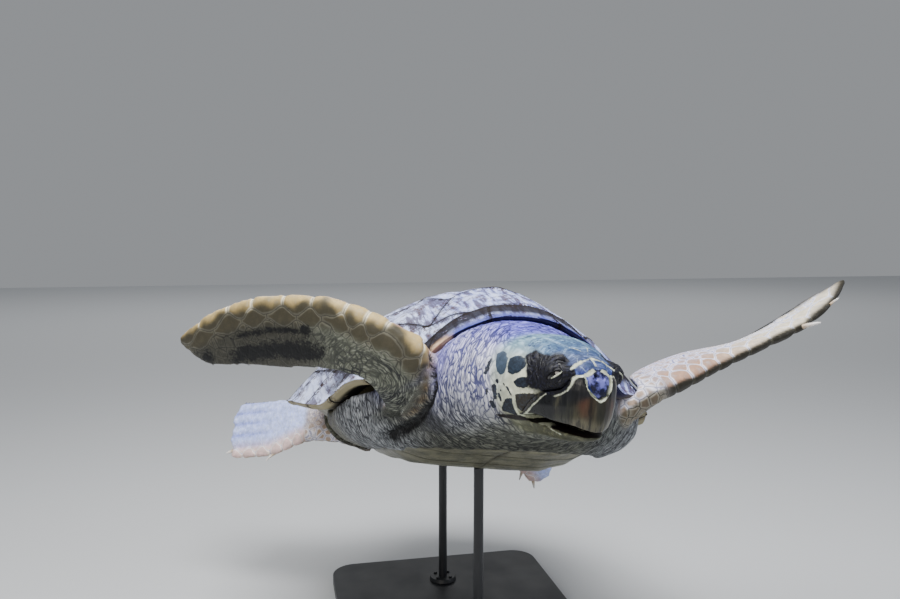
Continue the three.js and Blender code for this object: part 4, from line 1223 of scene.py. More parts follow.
# %% Measure the seams
VERTEBRAL_SEAMS = np.array([-0.44, -0.285, -0.1, 0.105, 0.285, 0.425]) * SHELL
VERTEBRAL_WAIST = np.array([0.085, 0.09, 0.1, 0.095, 0.08, 0.045]) * SHELL
VERTEBRAL_CORNER = np.array([0.145, 0.15, 0.145, 0.13, 0.1]) * SHELL
COSTAL_EDGE = 0.865
COSTAL_SEAMS = [0.195, 0.27, 0.345, 0.41]
NUCHAL_HALF = 0.0225
MARGINALS = 12


def warped(p, size, amount, seed):
    """Points pushed about by smooth noise, so that a seam wavers as a grown line does."""
    return p + amount * np.stack([grain(p, size, seed + i, 1) for i in range(p.shape[1])], 1)


seam_place = place.copy()
seam_place[:, :2] = warped(place, 55, 4.0, 3.0)[:, :2]
sx, sy = np.abs(seam_place[:, 0]), seam_place[:, 1]

middles = (VERTEBRAL_SEAMS[:-1] + VERTEBRAL_SEAMS[1:]) / 2
zigzag_y = np.sort(np.concatenate([VERTEBRAL_SEAMS, middles]))
zigzag_x = np.empty(len(zigzag_y))
zigzag_x[0::2], zigzag_x[1::2] = VERTEBRAL_WAIST, VERTEBRAL_CORNER
side_of_spine = 0.85 * (sx - np.interp(sy, zigzag_y, zigzag_x))
spine_index = np.interp(sy, VERTEBRAL_SEAMS, np.arange(6), left=-0.5, right=5.5)
spine_step = np.interp(sy, middles, np.diff(VERTEBRAL_SEAMS))

ends = dome(rim_at(np.array(COSTAL_SEAMS)), np.full(4, COSTAL_EDGE))[:, :2]
starts = np.stack([VERTEBRAL_CORNER[:4], middles[:4]], 1)
line = ends - starts
across_line = np.stack([-line[:, 1], line[:, 0]], 1) / np.linalg.norm(line, axis=1)[:, None]
gaps = np.einsum("nij,ij->ni", np.stack([sx, sy], 1)[:, None, :] - starts[None], across_line)
behind = gaps > 0
first = np.clip(behind.sum(1), 0, 4)
padded = np.concatenate([np.full((len(sx), 1), 90.0), gaps, np.full((len(sx), 1), -90.0)], 1)
rows = np.arange(len(sx))
before, after = np.abs(padded[rows, first]), np.abs(padded[rows, first + 1])
costal_step = before + after
costal_index = first + before / costal_step

# %% Measure the seams of the rim and gather them all
around_half = np.abs(np.mod(along + 0.5, 1.0) - 0.5) + 0.0012 * grain(place, 40, 8.0, 1)
marginal_wide = (0.5 - NUCHAL_HALF) / MARGINALS
rim_index = np.where(
    around_half < NUCHAL_HALF,
    -0.5 * (1 - around_half / NUCHAL_HALF),
    (around_half - NUCHAL_HALF) / marginal_wide,
)
rim_index = np.where(rim_index > MARGINALS - 0.02, MARGINALS, rim_index)
rim_step = np.where(around_half < NUCHAL_HALF, 2 * NUCHAL_HALF, marginal_wide) * RIM_LENGTH
reach = np.linalg.norm(on_rim - (0, CROWN_PLACE), axis=1)
from_ring = (share - COSTAL_EDGE) * reach + 2.5 * grain(place, 45, 6.0, 1)


def to_line(index, step):
    return np.abs(index - np.round(index)) * step


spine_gap = np.where(side_of_spine < 0, to_line(spine_index, spine_step), 99)
costal_gap = np.where(side_of_spine > 0, to_line(costal_index, costal_step), 99)
inner_gap = np.minimum.reduce([np.abs(side_of_spine), spine_gap, costal_gap])
seam_gap = np.where(from_ring > 0, to_line(rim_index, rim_step), inner_gap)
seam_gap = np.minimum(seam_gap, np.abs(from_ring))
print("share of the shell within 3 mm of a seam:", round(float((seam_gap < 3).mean()), 3))

# %% Carve the soft form of the scutes and close the dome
shell_mesh = mesh_from(shell_bm, "carapace_horn")
rise = SCUTE_RISE * np.interp(down, FOLD, FOLD_RISE)
valley = np.exp(-((seam_gap / 3.6) ** 2)) + 0.6 * np.exp(-((seam_gap / 9.0) ** 2))
knob_place = np.clip(spine_index, -0.5, 5) - np.floor(np.clip(spine_index, -0.5, 5))
knob = 5.0 * bump(knob_place, 0.72, 0.2) * np.exp(-((place[:, 0] / 20) ** 2)) * (side_of_spine < 0)
# Seen from its middle each scute is a little dished up by the layers of horn below it.
layers = 0.35 * grain(place, 26, 5.0, 2) + 0.5 * grain(place, 90, 2.0, 1)
lip = np.interp(down, [0, 0.7, 0.755, 0.79, 1], [0, 0, 2.2, 0, 0])
height = rise + lip + (down < 0.8) * (knob + layers - 1.25 * valley)
shell_mesh.update()
raised = points_of(shell_mesh) + normals_of(shell_mesh) * (height * MM)[:, None]
put_points(shell_mesh, raised)
store(shell_mesh, "seams", np.stack([from_ring, side_of_spine, share], 1))
store(shell_mesh, "scute", np.stack([spine_index, costal_index, rim_index], 1))
store(shell_mesh, "scute_step", np.stack([spine_step, costal_step, rim_step], 1))
store(shell_mesh, "forward", -place[:, 1] / SHELL)
shell_bm = bmesh.new()
shell_bm.from_mesh(shell_mesh)
bmesh.ops.remove_doubles(shell_bm, verts=shell_bm.verts, dist=2e-5)
bmesh.ops.dissolve_degenerate(shell_bm, edges=shell_bm.edges, dist=1e-6)
bmesh.ops.recalc_face_normals(shell_bm, faces=shell_bm.faces)
open_edges = sum(not e.is_manifold for e in shell_bm.edges)
shell_bm.to_mesh(shell_mesh)
shell_bm.free()
print("shell:", len(shell_mesh.polygons), "faces,", open_edges, "open edges")

# %% [markdown]
# ## The belly plate
#
# The plastron is a flat cross of bone under thin, smooth, yellowish horn. Its form in the frame is right,
# so a copy of it is remeshed and relaxed, and the seams between its plates are kept as distances, as on
# the back.

# %% Plastron
plastron_mesh = evened(mesh_from(merged_copy("plastron"), "plastron_horn"), 3.4)
belly_edges = edges_of(plastron_mesh)
belly_points = relax(points_of(plastron_mesh), belly_edges, 14)
put_points(plastron_mesh, belly_points)
in_belly = inwards(BODY, belly_points)
BELLY_SEAMS = np.array([-0.425, -0.345, -0.255, -0.115, 0.07, 0.21, 0.395]) * SHELL
BRIDGE_SEAMS = np.array([-0.165, -0.09, 0.02, 0.145]) * SHELL
INNER = 0.19 * SHELL
wavy = warped(in_belly, 70, 3.0, 21.0)
bx, by = np.abs(wavy[:, 0]), wavy[:, 1]
belly_gap = np.minimum(np.abs(wavy[:, 0]), np.abs(bx - INNER))
nearest = np.abs(by[:, None] - BELLY_SEAMS[None]).min(1)
nearest_bridge = np.abs(by[:, None] - BRIDGE_SEAMS[None]).min(1)
belly_gap = np.minimum(belly_gap, np.where(bx < INNER, nearest, nearest_bridge))
belly_normals = normals_of(plastron_mesh)
below = belly_normals @ np.array(BODY.to_3x3())[:, 2] < -0.2
belly_points = belly_points - belly_normals * (0.7 * MM * below * np.exp(-((belly_gap / 2.6) ** 2)))[:, None]
put_points(plastron_mesh, belly_points)
store(plastron_mesh, "belly_gap", belly_gap)
print("plastron:", len(plastron_mesh.polygons), "faces")

# %% [markdown]
# ## Beak
#
# A turtle has no teeth. A sheath of horn covers the bone of its upper jaw, thick at the front and worn at
# the edge. The frame's beak is copied, remeshed finely and relaxed, which rounds its edges as wear does.

# %% Upper beak
beak_mesh = evened(mesh_from(merged_copy("upper_beak", 0.15), "beak_horn"), 1.1)
beak_edges = edges_of(beak_mesh)
put_points(beak_mesh, relax(points_of(beak_mesh), beak_edges, 8))
print("beak:", len(beak_mesh.polygons), "faces")

# %% [markdown]
# ## Eyes
#
# The eye of a loggerhead looks black: a dark brown iris round a wide pupil, under a clear, wet cornea. A
# glass eye for a model is a ball with the iris painted on its back, so here a ball with a slightly proud
# cornea carries the distance from its own axis, which the material paints by.

# %% Eyes
eye_meshes = {}
for name, side in (("left", 1), ("right", -1)):
    bm = bmesh.new()
    bmesh.ops.create_uvsphere(bm, u_segments=72, v_segments=48, radius=EYE_RADIUS)
    local = np.array([v.co for v in bm.verts])
    off_axis = np.hypot(local[:, 0], local[:, 1])
    cornea = (local[:, 2] > 0) * 0.5 * (1 - smoothstep(0, 10, off_axis))
    local[:, 2] += cornea
    for v, p in zip(bm.verts, outwards(eye_axes(side), local)):
        v.co = p
    bmesh.ops.recalc_face_normals(bm, faces=bm.faces)
    eye_meshes[name] = mesh_from(bm, f"glass_eye_{name}")
    front = local[:, 2] > 0
    store(eye_meshes[name], "off_axis", np.where(front, off_axis, EYE_RADIUS))
    store(eye_meshes[name], "iris_place", local)
print("eyes:", len(eye_meshes["left"].polygons), "faces each")

# %% [markdown]
# ## Claws
#
# Each flipper keeps two claws on its leading edge: curved cones of horn with a blunt, worn tip. A cone of
# the frame gives the root and the tip. The claw is then drawn from rings, each extruded from the last,
# moved along the bend and scaled to its place on the taper.

# %% Claws
CLAWS = [f"claw_{pair}_{side}_{i}" for pair in ("fore", "hind") for side in SIDES for i in (1, 2)]
CLAW_RINGS, CLAW_SIDES = 12, 20


def claw_mesh(name):
    copy = merged_copy(name)
    p = np.array([v.co for v in copy.verts])
    copy.free()
    centre = p.mean(0)
    _, _, axes = np.linalg.svd(p - centre)
    reach = (p - centre) @ axes[0]
    off_axis = np.linalg.norm((p - centre) @ axes[1:].T, axis=1)
    if off_axis[reach < 0].mean() < off_axis[reach > 0].mean():
        axes[0], reach = -axes[0], -reach
    up_the_cone = (reach - reach.min()) / (reach.max() - reach.min())
    base_radius = off_axis[up_the_cone < 0.35].mean()
    root, tip = p[up_the_cone < 0.3].mean(0), p[up_the_cone > 0.88].mean(0)
    halfway = (up_the_cone > 0.35) & (up_the_cone < 0.75)
    middle = p[halfway].mean(0) if halfway.any() else (root + tip) / 2
    start = root - (tip - root) * 0.28
    side_axis = axes[1]
    face_axis = np.cross(axes[0], axes[1])
    bm = bmesh.new()
    loop = list(bmesh.ops.create_circle(bm, segments=CLAW_SIDES, radius=1.0, cap_ends=False)["verts"])
    edges_loop = list({e for v in loop for e in v.link_edges})
    for k in range(CLAW_RINGS + 1):
        s = k / CLAW_RINGS
        bend = (1 - s) ** 2 * start + 2 * s * (1 - s) * (2 * middle - (start + tip) / 2) + s * s * tip
        radius = base_radius * (1.02 * (1 - s) ** 0.62 + 0.05)
        for i, v in enumerate(loop):
            a = 2 * math.pi * i / len(loop)
            v.co = bend + radius * (side_axis * math.cos(a) + face_axis * 0.85 * math.sin(a))
        if k < CLAW_RINGS:
            grown = bmesh.ops.extrude_edge_only(bm, edges=edges_loop)["geom"]
            edges_loop = [g for g in grown if isinstance(g, bmesh.types.BMEdge)]
            fresh = {g for g in grown if isinstance(g, bmesh.types.BMVert)}
            loop = [next(e.other_vert(v) for e in v.link_edges if e.other_vert(v) in fresh) for v in loop]
    bmesh.ops.holes_fill(bm, edges=[e for e in bm.edges if e.is_boundary], sides=0)
    bmesh.ops.recalc_face_normals(bm, faces=bm.faces)
    mesh = mesh_from(bm, name.replace("claw", "horn_claw"))
    final = points_of(mesh)
    store(mesh, "to_tip", (final - start) @ (tip - start) / np.dot(tip - start, tip - start))
    return mesh


claw_meshes = {name: claw_mesh(name) for name in CLAWS}
print("claws:", len(claw_meshes), "of", len(claw_meshes[CLAWS[0]].polygons), "faces")

# %% [markdown]
# ## Display stand
#
# A cast this heavy stands on a slab of steel with two rods that run up into its belly. Both are painted a
# satin black, so that the eye passes over them. The slab starts as a cube: its upright edges take a wide
# bevel, then the rims a narrow one. A rod is a cylinder, with a flange bolted to the slab at its foot.

# %% Stand
BASE_SIZE, BASE_CORNER = Vector((0.42, 0.52, 0.022)), 0.045
RODS = {"stand_rod_front": (0.0, -0.130), "stand_rod_back": (0.0, 0.150)}
# A rod's foot stays half a millimetre above the slab, and its top a millimetre below the frame's.
FOOT, TOP_INSET, ROD_RADIUS = 0.0225, 0.001, 0.008
FLANGE_RADII, FLANGE_HIGH = (0.026, 0.024), 0.007
BOLTS, BOLT_RADIUS, BOLT_HIGH, BOLT_CIRCLE = 4, 0.0038, 0.003, 0.0175

bm = bmesh.new()
bmesh.ops.create_cube(bm, size=1.0)
bmesh.ops.scale(bm, vec=BASE_SIZE, verts=bm.verts)
bmesh.ops.translate(bm, vec=(0, 0, BASE_SIZE.z / 2), verts=bm.verts)
upright = [e for e in bm.edges if abs(e.verts[0].co.z - e.verts[1].co.z) > 0.01]
bmesh.ops.bevel(bm, geom=upright, offset=BASE_CORNER, segments=12, profile=0.5, affect="EDGES", material=-1)
rims = [e for e in bm.edges if e.calc_face_angle(0) > 1.0]
bmesh.ops.bevel(bm, geom=rims, offset=0.0025, segments=4, profile=0.5, affect="EDGES", material=-1)
base_mesh = mesh_from(bm, "stand_slab")


def round_bar(bm, foot, sides, radii, high):
    """Adds an upright round bar or cone on the place of its foot, and returns its edges."""
    middle = Matrix.Translation(Vector(foot) + Vector((0, 0, high / 2)))
    low, top = radii
    made = bmesh.ops.create_cone(
        bm, cap_ends=True, segments=sides, radius1=low, radius2=top, depth=high, matrix=middle
    )["verts"]
    return list({e for v in made for e in v.link_edges})


def rod_mesh(name, x, y):
    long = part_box(name)[1][2] - TOP_INSET - FOOT
    bm = bmesh.new()
    round_bar(bm, (x, y, FOOT), 40, (ROD_RADIUS, ROD_RADIUS), long)
    flange = round_bar(bm, (x, y, FOOT), 56, FLANGE_RADII, FLANGE_HIGH)
    rims = [e for e in flange if e.calc_face_angle(0) > 1.0]
    bmesh.ops.bevel(bm, geom=rims, offset=0.0008, segments=3, profile=0.5, affect="EDGES", material=-1)
    for k in range(BOLTS):
        a = math.pi / 4 + k * 2 * math.pi / BOLTS
        beside = (x + BOLT_CIRCLE * math.cos(a), y + BOLT_CIRCLE * math.sin(a), FOOT + FLANGE_HIGH)
        bolt = round_bar(bm, beside, 6, (BOLT_RADIUS, BOLT_RADIUS), BOLT_HIGH)
        bmesh.ops.bevel(bm, geom=bolt, offset=0.0004, segments=1, profile=0.5, affect="EDGES", material=-1)
    return mesh_from(bm, name.replace("stand_", "stand_steel_"))


rod_meshes = {name: rod_mesh(name, *place_xy) for name, place_xy in RODS.items()}
print("stand:", len(base_mesh.polygons), "faces in the slab")
# %% [markdown]
# ## The finish of the skin
#
# The cast is resin, airbrushed and sealed with a satin varnish, so it has the index of a plastic, no metal
# and a middling roughness. The mesh brings the colours and the distances; the graph below cuts them into
# crisp marks, seams and creases and lifts the same shapes in the bump. Wrinkles are cells of a Voronoi
# pattern in four dimensions: three are the place on the animal, counted in steps of 16 mm, and the fourth
# is the distance from the head's or the elbow's middle, in steps of 2.9 mm. The cells come out long along
# the folds and short across them, as the fine wrinkles of a drawn-in neck are.

# %% Marks that skin and beak share
def painted_marks(g, mm, colour, rough_noise):
    """Lays the plates, the eye's dark patch and the pale lines of the head over a colour."""
    plate, line, patch = three_stored(g, "marks")
    shield, top, mouth = three_stored(g, "more_marks")
    fray = about_zero(g, rough_noise, 2.4)

    # Top plates: thin pale seams, and dark freckles that gather in each plate's middle.
    freckle = node(g, "TexNoise", {}, mm, 1 / 4, 3.0, 0.7)
    freckled = node(g, *SOFT_STEP, freckle, 0.49, 0.6)
    on_top = node(g, *SOFT_STEP, top, 0.5, 5.0)
    freckled = node(g, *TIMES, freckled, node(g, *TIMES, on_top, 0.85))
    colour = node(g, *COLOURS, freckled, colour, linear("#22365c"))
    cloud = node(g, "TexNoise", {}, mm, 1 / 13, 3.0, 0.6)
    clouded = node(g, *SOFT_STEP, cloud, 0.48, 0.58)
    clouded = node(g, *TIMES, clouded, node(g, *TIMES, on_top, 0.6))
    colour = node(g, *COLOURS, clouded, colour, linear("#3a5078"))
    to_seam = node(g, *SIZE_OF, node(g, *ADD, top, node(g, *TIMES, fray, 0.8)))
    on_seam = node(g, *SOFT_STEP, to_seam, 0.9, 0.1)
    on_seam = node(g, *TIMES, on_seam, node(g, "MapRange", {}, cloud, 0.35, 0.6, 0.0, 0.5))
    colour = node(g, *COLOURS, on_seam, colour, linear("#b4c6da"))

    # Cheek plates: dark horn, a little lighter in the middle, with a frayed edge.
    own = node(g, "Attribute", {ATTRIBUTE: "plate_colour"}, out="Color")
    grey = node(g, "TexNoise", {}, mm, 0.3, 4.0, 0.6)
    worn = node(g, *SOFT_STEP, grey, 0.35, 0.75)
    own = node(g, *COLOURS, node(g, *TIMES, worn, 0.3), own, linear("#5f7086"))
    wide_fray = about_zero(g, cloud, 5.0)
    fray = node(g, *ADD, fray, wide_fray)
    frayed = node(g, *ADD, plate, fray)
    on_plate = node(g, *SOFT_STEP, frayed, -0.45, 0.45)
    colour = node(g, *COLOURS, on_plate, colour, own)

    # The dark patch round the eye, and the dark line of the mouth.
    frayed = node(g, *ADD, patch, node(g, *TIMES, fray, 1.6))
    on_patch = node(g, *SOFT_STEP, frayed, -2.4, 1.6)
    dusk = node(g, *SOFT_STEP, rough_noise, 0.45, 0.8)
    dusky = node(g, *COLOURS, dusk, linear("#101018"), linear("#34354c"))
    colour = node(g, *COLOURS, on_patch, colour, dusky)
    in_mouth = node(g, *SOFT_STEP, mouth, -0.6, 1.0)
    flesh = node(g, *COLOURS, dusk, linear("#141112"), linear("#33201d"))
    colour = node(g, *COLOURS, in_mouth, colour, flesh)

    # The nose shield: violet horn with painted pale highlights, inside its cream border.
    on_shield = node(g, *SOFT_STEP, shield, -0.5, 0.7)
    shine = node(g, *SOFT_STEP, cloud, 0.46, 0.62)
    violet = node(g, *COLOURS, shine, linear("#191c3c"), linear("#7c7ebc"))
    colour = node(g, *COLOURS, on_shield, colour, violet)

    pale = node(g, *COLOURS, dusk, linear("#cdd2bd"), linear("#e9ebdd"))
    frayed = node(g, *ADD, line, node(g, *TIMES, fray, 0.7))
    on_line = node(g, *SOFT_STEP, frayed, -0.7, 0.8)
    return node(g, *COLOURS, node(g, *TIMES, on_line, 0.92), colour, pale)


# %% Skin
WRINKLE, WRINKLE_LONG, PEBBLE, SCALE = 2.9, 16.0, 8.5, 14.0
ROW_ONE, ROW_TWO = 15.0, 33.0
FRACTION, MORE_THAN = (("Math", {"operation": o}) for o in ("FRACT", "GREATER_THAN"))
TO_EDGE_4D = ("TexVoronoi", {"voronoi_dimensions": "4D", "feature": "DISTANCE_TO_EDGE"})
TO_EDGE_3D = ("TexVoronoi", {"voronoi_dimensions": "3D", "feature": "DISTANCE_TO_EDGE"})

skin_paint, g, shader = material_named("turtle skin, airbrushed resin cast")
mm = in_millimetres(g)
tones = ("light", "tone", "crease")
light, tone, crease = (node(g, "Attribute", {ATTRIBUTE: name}, out="Color") for name in tones)
edge_at, behind, step = three_stored(g, "limb")
rows, scales, wrinkles = three_stored(g, "drawn")
pebbles, dark_blotches_and_shade, lids = three_stored(g, "spots")
fold = node(g, "Attribute", {ATTRIBUTE: "fold"}, out="Fac")

# Noise at three sizes: lumps of 3 mm, of 9 mm and of 40 mm.
small = node(g, "TexNoise", {}, mm, 1 / 3, 3.0, 0.6)
middling = node(g, "TexNoise", {}, mm, 1 / 9, 3.0, 0.55)
broad = node(g, "TexNoise", {}, mm, 1 / 40, 2.0, 0.5)

# %% Skin: wrinkles and folds
warp = about_zero(g, middling, 1.3)
out_count = node(g, *ADD, node(g, "Math", {"operation": "DIVIDE"}, fold, WRINKLE), warp)
steps = node(g, "VectorMath", {"operation": "SCALE"}, mm, 1 / WRINKLE_LONG)
wrinkle = node(g, *TO_EDGE_4D, {"Vector": steps, "W": out_count, "Scale": 1.0})
net = node(g, *TO_EDGE_3D, {"Vector": mm, "Scale": 1 / PEBBLE})
wrinkle_cut = node(g, *SOFT_STEP, wrinkle, 0.13, 0.02)
net_cut = node(g, *SOFT_STEP, net, 0.2, 0.06)
cut = node(g, *TIMES, wrinkle_cut, wrinkles)
cut = node(g, *HIGHEST, cut, node(g, *TIMES, net_cut, pebbles))
# Every few wrinkles one is a fold, as deep as the relief, and its bottom is painted dark as shade.
valley = node(g, "Math", {"operation": "PINGPONG"}, node(g, *ADD, fold, NECK_FOLD), NECK_FOLD / 2)
valley = node(g, *SOFT_STEP, valley, 1.7, 0.3)
valley = node(g, *TIMES, valley, node(g, *SOFT_STEP, broad, 0.42, 0.6))
cut = node(g, *HIGHEST, cut, node(g, *TIMES, valley, wrinkles))
# Wrinkles and folds take the crease colour as painted shade, and the nets of small scales as their dark
# lines.
depth = node(g, *SOFT_STEP, broad, 0.3, 0.6, 0.6, 1.0)
cut_colour = node(g, *TIMES, cut, depth)
# The crests between the wrinkles take the light colour as a painted highlight.
crest_highlight = node(g, *SOFT_STEP, wrinkle, 0.04, 0.24)
crest_highlight = node(g, *TIMES, crest_highlight, node(g, *SOFT_STEP, middling, 0.3, 0.65, 0.25, 0.8))
bare = node(g, *COLOURS, crest_highlight, tone, light)
bare = node(g, *COLOURS, cut_colour, bare, crease)
print("wrinkles are", WRINKLE, "mm wide and", WRINKLE_LONG, "mm long")

# %% Skin: scales
# Two rows along the leading edge, small cells behind them.
near_one = node(g, *FRACTION, edge_at)
near_one = node(g, *LOWEST, near_one, node(g, *LESS, 1.0, near_one))
near_two = node(g, *FRACTION, node(g, *ADD, edge_at, 0.5))
near_two = node(g, *LOWEST, near_two, node(g, *LESS, 1.0, near_two))
bulge_one = node(g, *SOFT_STEP, near_one, 0.0, 0.46, ROW_ONE - 5, ROW_ONE + 6)
bulge_two = node(g, *SOFT_STEP, near_two, 0.0, 0.46, ROW_TWO - 5, ROW_TWO + 5)
wavy = node(g, *ADD, behind, about_zero(g, middling, 4.0))
past_one = node(g, *LESS, wavy, bulge_one)
past_two = node(g, *LESS, wavy, bulge_two)
cells = node(g, *TO_EDGE_3D, {"Vector": mm, "Scale": 1 / SCALE, "Randomness": 0.8})
cell_gap = node(g, *TIMES, cells, SCALE)
two_gap = node(g, *TIMES, near_two, step)
one_gap = node(g, *TIMES, near_one, step)
beyond_two = node(g, *MORE_THAN, past_two, 0.0)
beyond_one = node(g, *MORE_THAN, past_one, 0.0)
gap = node(g, "Mix", {}, beyond_two, two_gap, cell_gap)
gap = node(g, "Mix", {}, beyond_one, one_gap, gap)
gap = node(g, *LOWEST, gap, node(g, *SIZE_OF, past_one))
gap = node(g, *LOWEST, gap, node(g, *SIZE_OF, past_two))
on_row = node(g, *TIMES, node(g, *LESS, 1.0, beyond_one), rows)
drawn = node(g, *HIGHEST, scales, on_row)
horn = node(g, *SOFT_STEP, gap, 1.1, 3.9)
horn = node(g, *TIMES, horn, node(g, *SOFT_STEP, middling, 0.2, 0.5, 0.55))
scaled = node(g, *COLOURS, horn, light, tone)
seam = node(g, *SOFT_STEP, gap, 0.9, 0.2)
scaled = node(g, *COLOURS, node(g, *TIMES, seam, 0.85), scaled, crease)
colour = node(g, *COLOURS, drawn, bare, scaled)
print("scale cells are", SCALE, "mm wide")

# %% Skin: dark blotches, painted shade, marks and finish
# The dark blotches and the painted shade of the arm's fold break up into specks at their edge.
blotched_and_shaded = node(g, *ADD, dark_blotches_and_shade, about_zero(g, small, 0.9))
blotched_and_shaded = node(g, *ADD, blotched_and_shaded, about_zero(g, middling, 1.3))
blotched_and_shaded = node(g, *SOFT_STEP, blotched_and_shaded, 0.32, 0.82, 0.0, 0.97)
colour = node(g, *COLOURS, blotched_and_shaded, colour, linear("#0b0c0f"))
colour = painted_marks(g, mm, colour, small)
mottle = node(g, "MapRange", {}, middling, 0.3, 0.7, 0.75, 1.15)
colour = node(g, *TINTED, 1.0, colour, node(g, "CombineColor", {}, mottle, mottle, mottle))
varnished(g, colour, shader)

# Bump, in millimetres: wrinkles 1.1 deep, nets 0.5, scales domed by 0.6, and the grain of the varnish.
high = node(g, *SOFT_STEP, wrinkle, 0.0, 0.3, 0.0, 1.1)
high = node(g, *TIMES, high, node(g, *HIGHEST, wrinkles, lids))
high_net = node(g, *SOFT_STEP, net, 0.0, 0.3, 0.0, 0.5)
high = node(g, *ADD, high, node(g, *TIMES, high_net, pebbles))
high_scale = node(g, *SOFT_STEP, gap, 0.0, 3.0, 0.0, 0.6)
high = node(g, *ADD, high, node(g, *TIMES, high_scale, drawn))
high = node(g, *ADD, high, node(g, *TIMES, small, 0.22))
surfaced(g, shader, high, small, (0.46, 0.62), index=1.47, specular=0.35)
print("skin graph:", len(g.nodes), "nodes")

# %% [markdown]
# ## The horn of the shell
#
# The scutes of a living loggerhead are horn over bone: matt, streaked and blotched brown and grey, dark and
# dirty along the seams, and bluish where wet light falls on them. On the cast that is paint over a rough
# resin, so the finish is broad tones, then blotches, then streaks that run from head to tail, and last the
# seams, which the stored distances place. Horn grows in layers, which the bump draws as faint steps
# alongside every seam.

# %% Carapace
SEAM_HALF, GROWTH_STEP = 1.9, 5.5

horn_paint, g, shader = material_named("carapace horn, painted resin cast")
mm = in_millimetres(g)
from_ring, off_spine, _ = three_stored(g, "seams")
indices, widths = three_stored(g, "scute"), three_stored(g, "scute_step")
rim_light, under, blush = three_stored(g, "rim_tones")
small = node(g, "TexNoise", {}, mm, 1 / 3.5, 4.0, 0.65)
middling = node(g, "TexNoise", {}, mm, 1 / 18, 4.0, 0.6)
broad = node(g, "TexNoise", {}, mm, 1 / 70, 2.0, 0.5)
long_ways = node(g, "Mapping", {}, {"Vector": mm, "Scale": (1 / 9, 1 / 60, 1 / 14)})
streaks = node(g, "TexNoise", {}, long_ways, 1.0, 4.0, 0.6)

# %% Carapace: distance to the seams
to_line = []
for index, width in zip(indices, widths):
    part = node(g, *FRACTION, index)
    part = node(g, *LOWEST, part, node(g, *LESS, 1.0, part))
    to_line.append(node(g, *TIMES, part, width))
beside_spine = node(g, *MORE_THAN, off_spine, 0.0)
past_ring = node(g, *MORE_THAN, from_ring, 0.0)
inner = node(g, "Mix", {}, beside_spine, to_line[0], to_line[1])
inner = node(g, *LOWEST, inner, node(g, *SIZE_OF, off_spine))
gap = node(g, "Mix", {}, past_ring, inner, to_line[2])
gap = node(g, *LOWEST, gap, node(g, *SIZE_OF, from_ring))
frayed = node(g, *ADD, gap, about_zero(g, small, 2.2))

# %% Carapace: tones, streaks and blotches
pale = node(g, *SOFT_STEP, broad, 0.36, 0.64)
colour = node(g, *COLOURS, pale, linear("#7d88c6"), linear("#b4c0f2"))
streaky = node(g, *SOFT_STEP, streaks, 0.44, 0.62)
colour = node(g, *COLOURS, node(g, *TIMES, streaky, 0.6), colour, linear("#e2e8fa"))
# The animal's right side is painted paler, as light falling on it.
side_ways = node(g, "SeparateXYZ", {}, mm)
painted_light_side = node(g, *SOFT_STEP, side_ways, -30.0, -150.0, 0.0, 0.6)
colour = node(g, *COLOURS, painted_light_side, colour, linear("#e2eaff"))
brown = node(g, *SOFT_STEP, streaks, 0.53, 0.4)
forward = node(g, "Attribute", {ATTRIBUTE: "forward"}, out="Fac")
at_front = node(g, *SOFT_STEP, forward, 0.16, 0.3)
in_patches = node(g, *SOFT_STEP, broad, 0.6, 0.42, 0.25)
brown = node(g, *TIMES, brown, node(g, *HIGHEST, in_patches, at_front))
colour = node(g, *COLOURS, node(g, *TIMES, brown, 0.8), colour, linear("#514653"))
blotch = node(g, *SOFT_STEP, middling, 0.5, 0.6)
blotch = node(g, *TIMES, blotch, node(g, *SOFT_STEP, small, 0.4, 0.56))
colour = node(g, *COLOURS, node(g, *TIMES, blotch, 0.85), colour, linear("#5a4438"))

# %% Carapace: rim, shoulders and seams
# Cream below the rim, with painted shadow under it at the front, painted violet light along its edge, and
# the rusty patch in front of each shoulder.
front_under_shadow = node(g, *SOFT_STEP, forward, 0.39, 0.45)
cream_and_shadow_below = node(g, *COLOURS, front_under_shadow, linear("#a39c84"), linear("#2c2b4a"))
colour = node(g, *COLOURS, under, colour, cream_and_shadow_below)
violet = node(g, *COLOURS, middling, linear("#3a3d7e"), linear("#7c84c6"))
colour = node(g, *COLOURS, node(g, *TIMES, rim_light, 0.9), colour, violet)
rust = node(g, *COLOURS, middling, linear("#8a4f38"), linear("#f4e2c8"))
rusty = node(g, *ADD, blush, about_zero(g, middling, 0.8))
rusty = node(g, *SOFT_STEP, rusty, 0.35, 0.65)
colour = node(g, *COLOURS, rusty, colour, rust)

# The rim scutes at the front are dark next to the ring seam.
band = node(g, *SOFT_STEP, from_ring, -6.0, 2.0)
band_end = node(g, *SOFT_STEP, from_ring, 30.0, 17.0)
band = node(g, *TIMES, node(g, *TIMES, band, band_end), at_front)
band_mottle = node(g, *SOFT_STEP, middling, 0.74, 0.56)
band = node(g, *TIMES, band, band_mottle)
colour = node(g, *COLOURS, node(g, *TIMES, band, 0.95), colour, linear("#1d1a22"))

dirt = node(g, *SOFT_STEP, frayed, 13.0, 0.5)
dirt = node(g, *TIMES, dirt, node(g, *SOFT_STEP, small, 0.42, 0.56))
colour = node(g, *COLOURS, node(g, *TIMES, dirt, 0.85), colour, linear("#2e2524"))
in_seam = node(g, *SOFT_STEP, frayed, SEAM_HALF + 0.5, SEAM_HALF - 0.4)
in_seam = node(g, *TIMES, in_seam, node(g, "MapRange", {}, middling, 0.3, 0.6, 0.5))
colour = node(g, *COLOURS, in_seam, colour, linear("#1e1818"))
varnished(g, colour, shader)

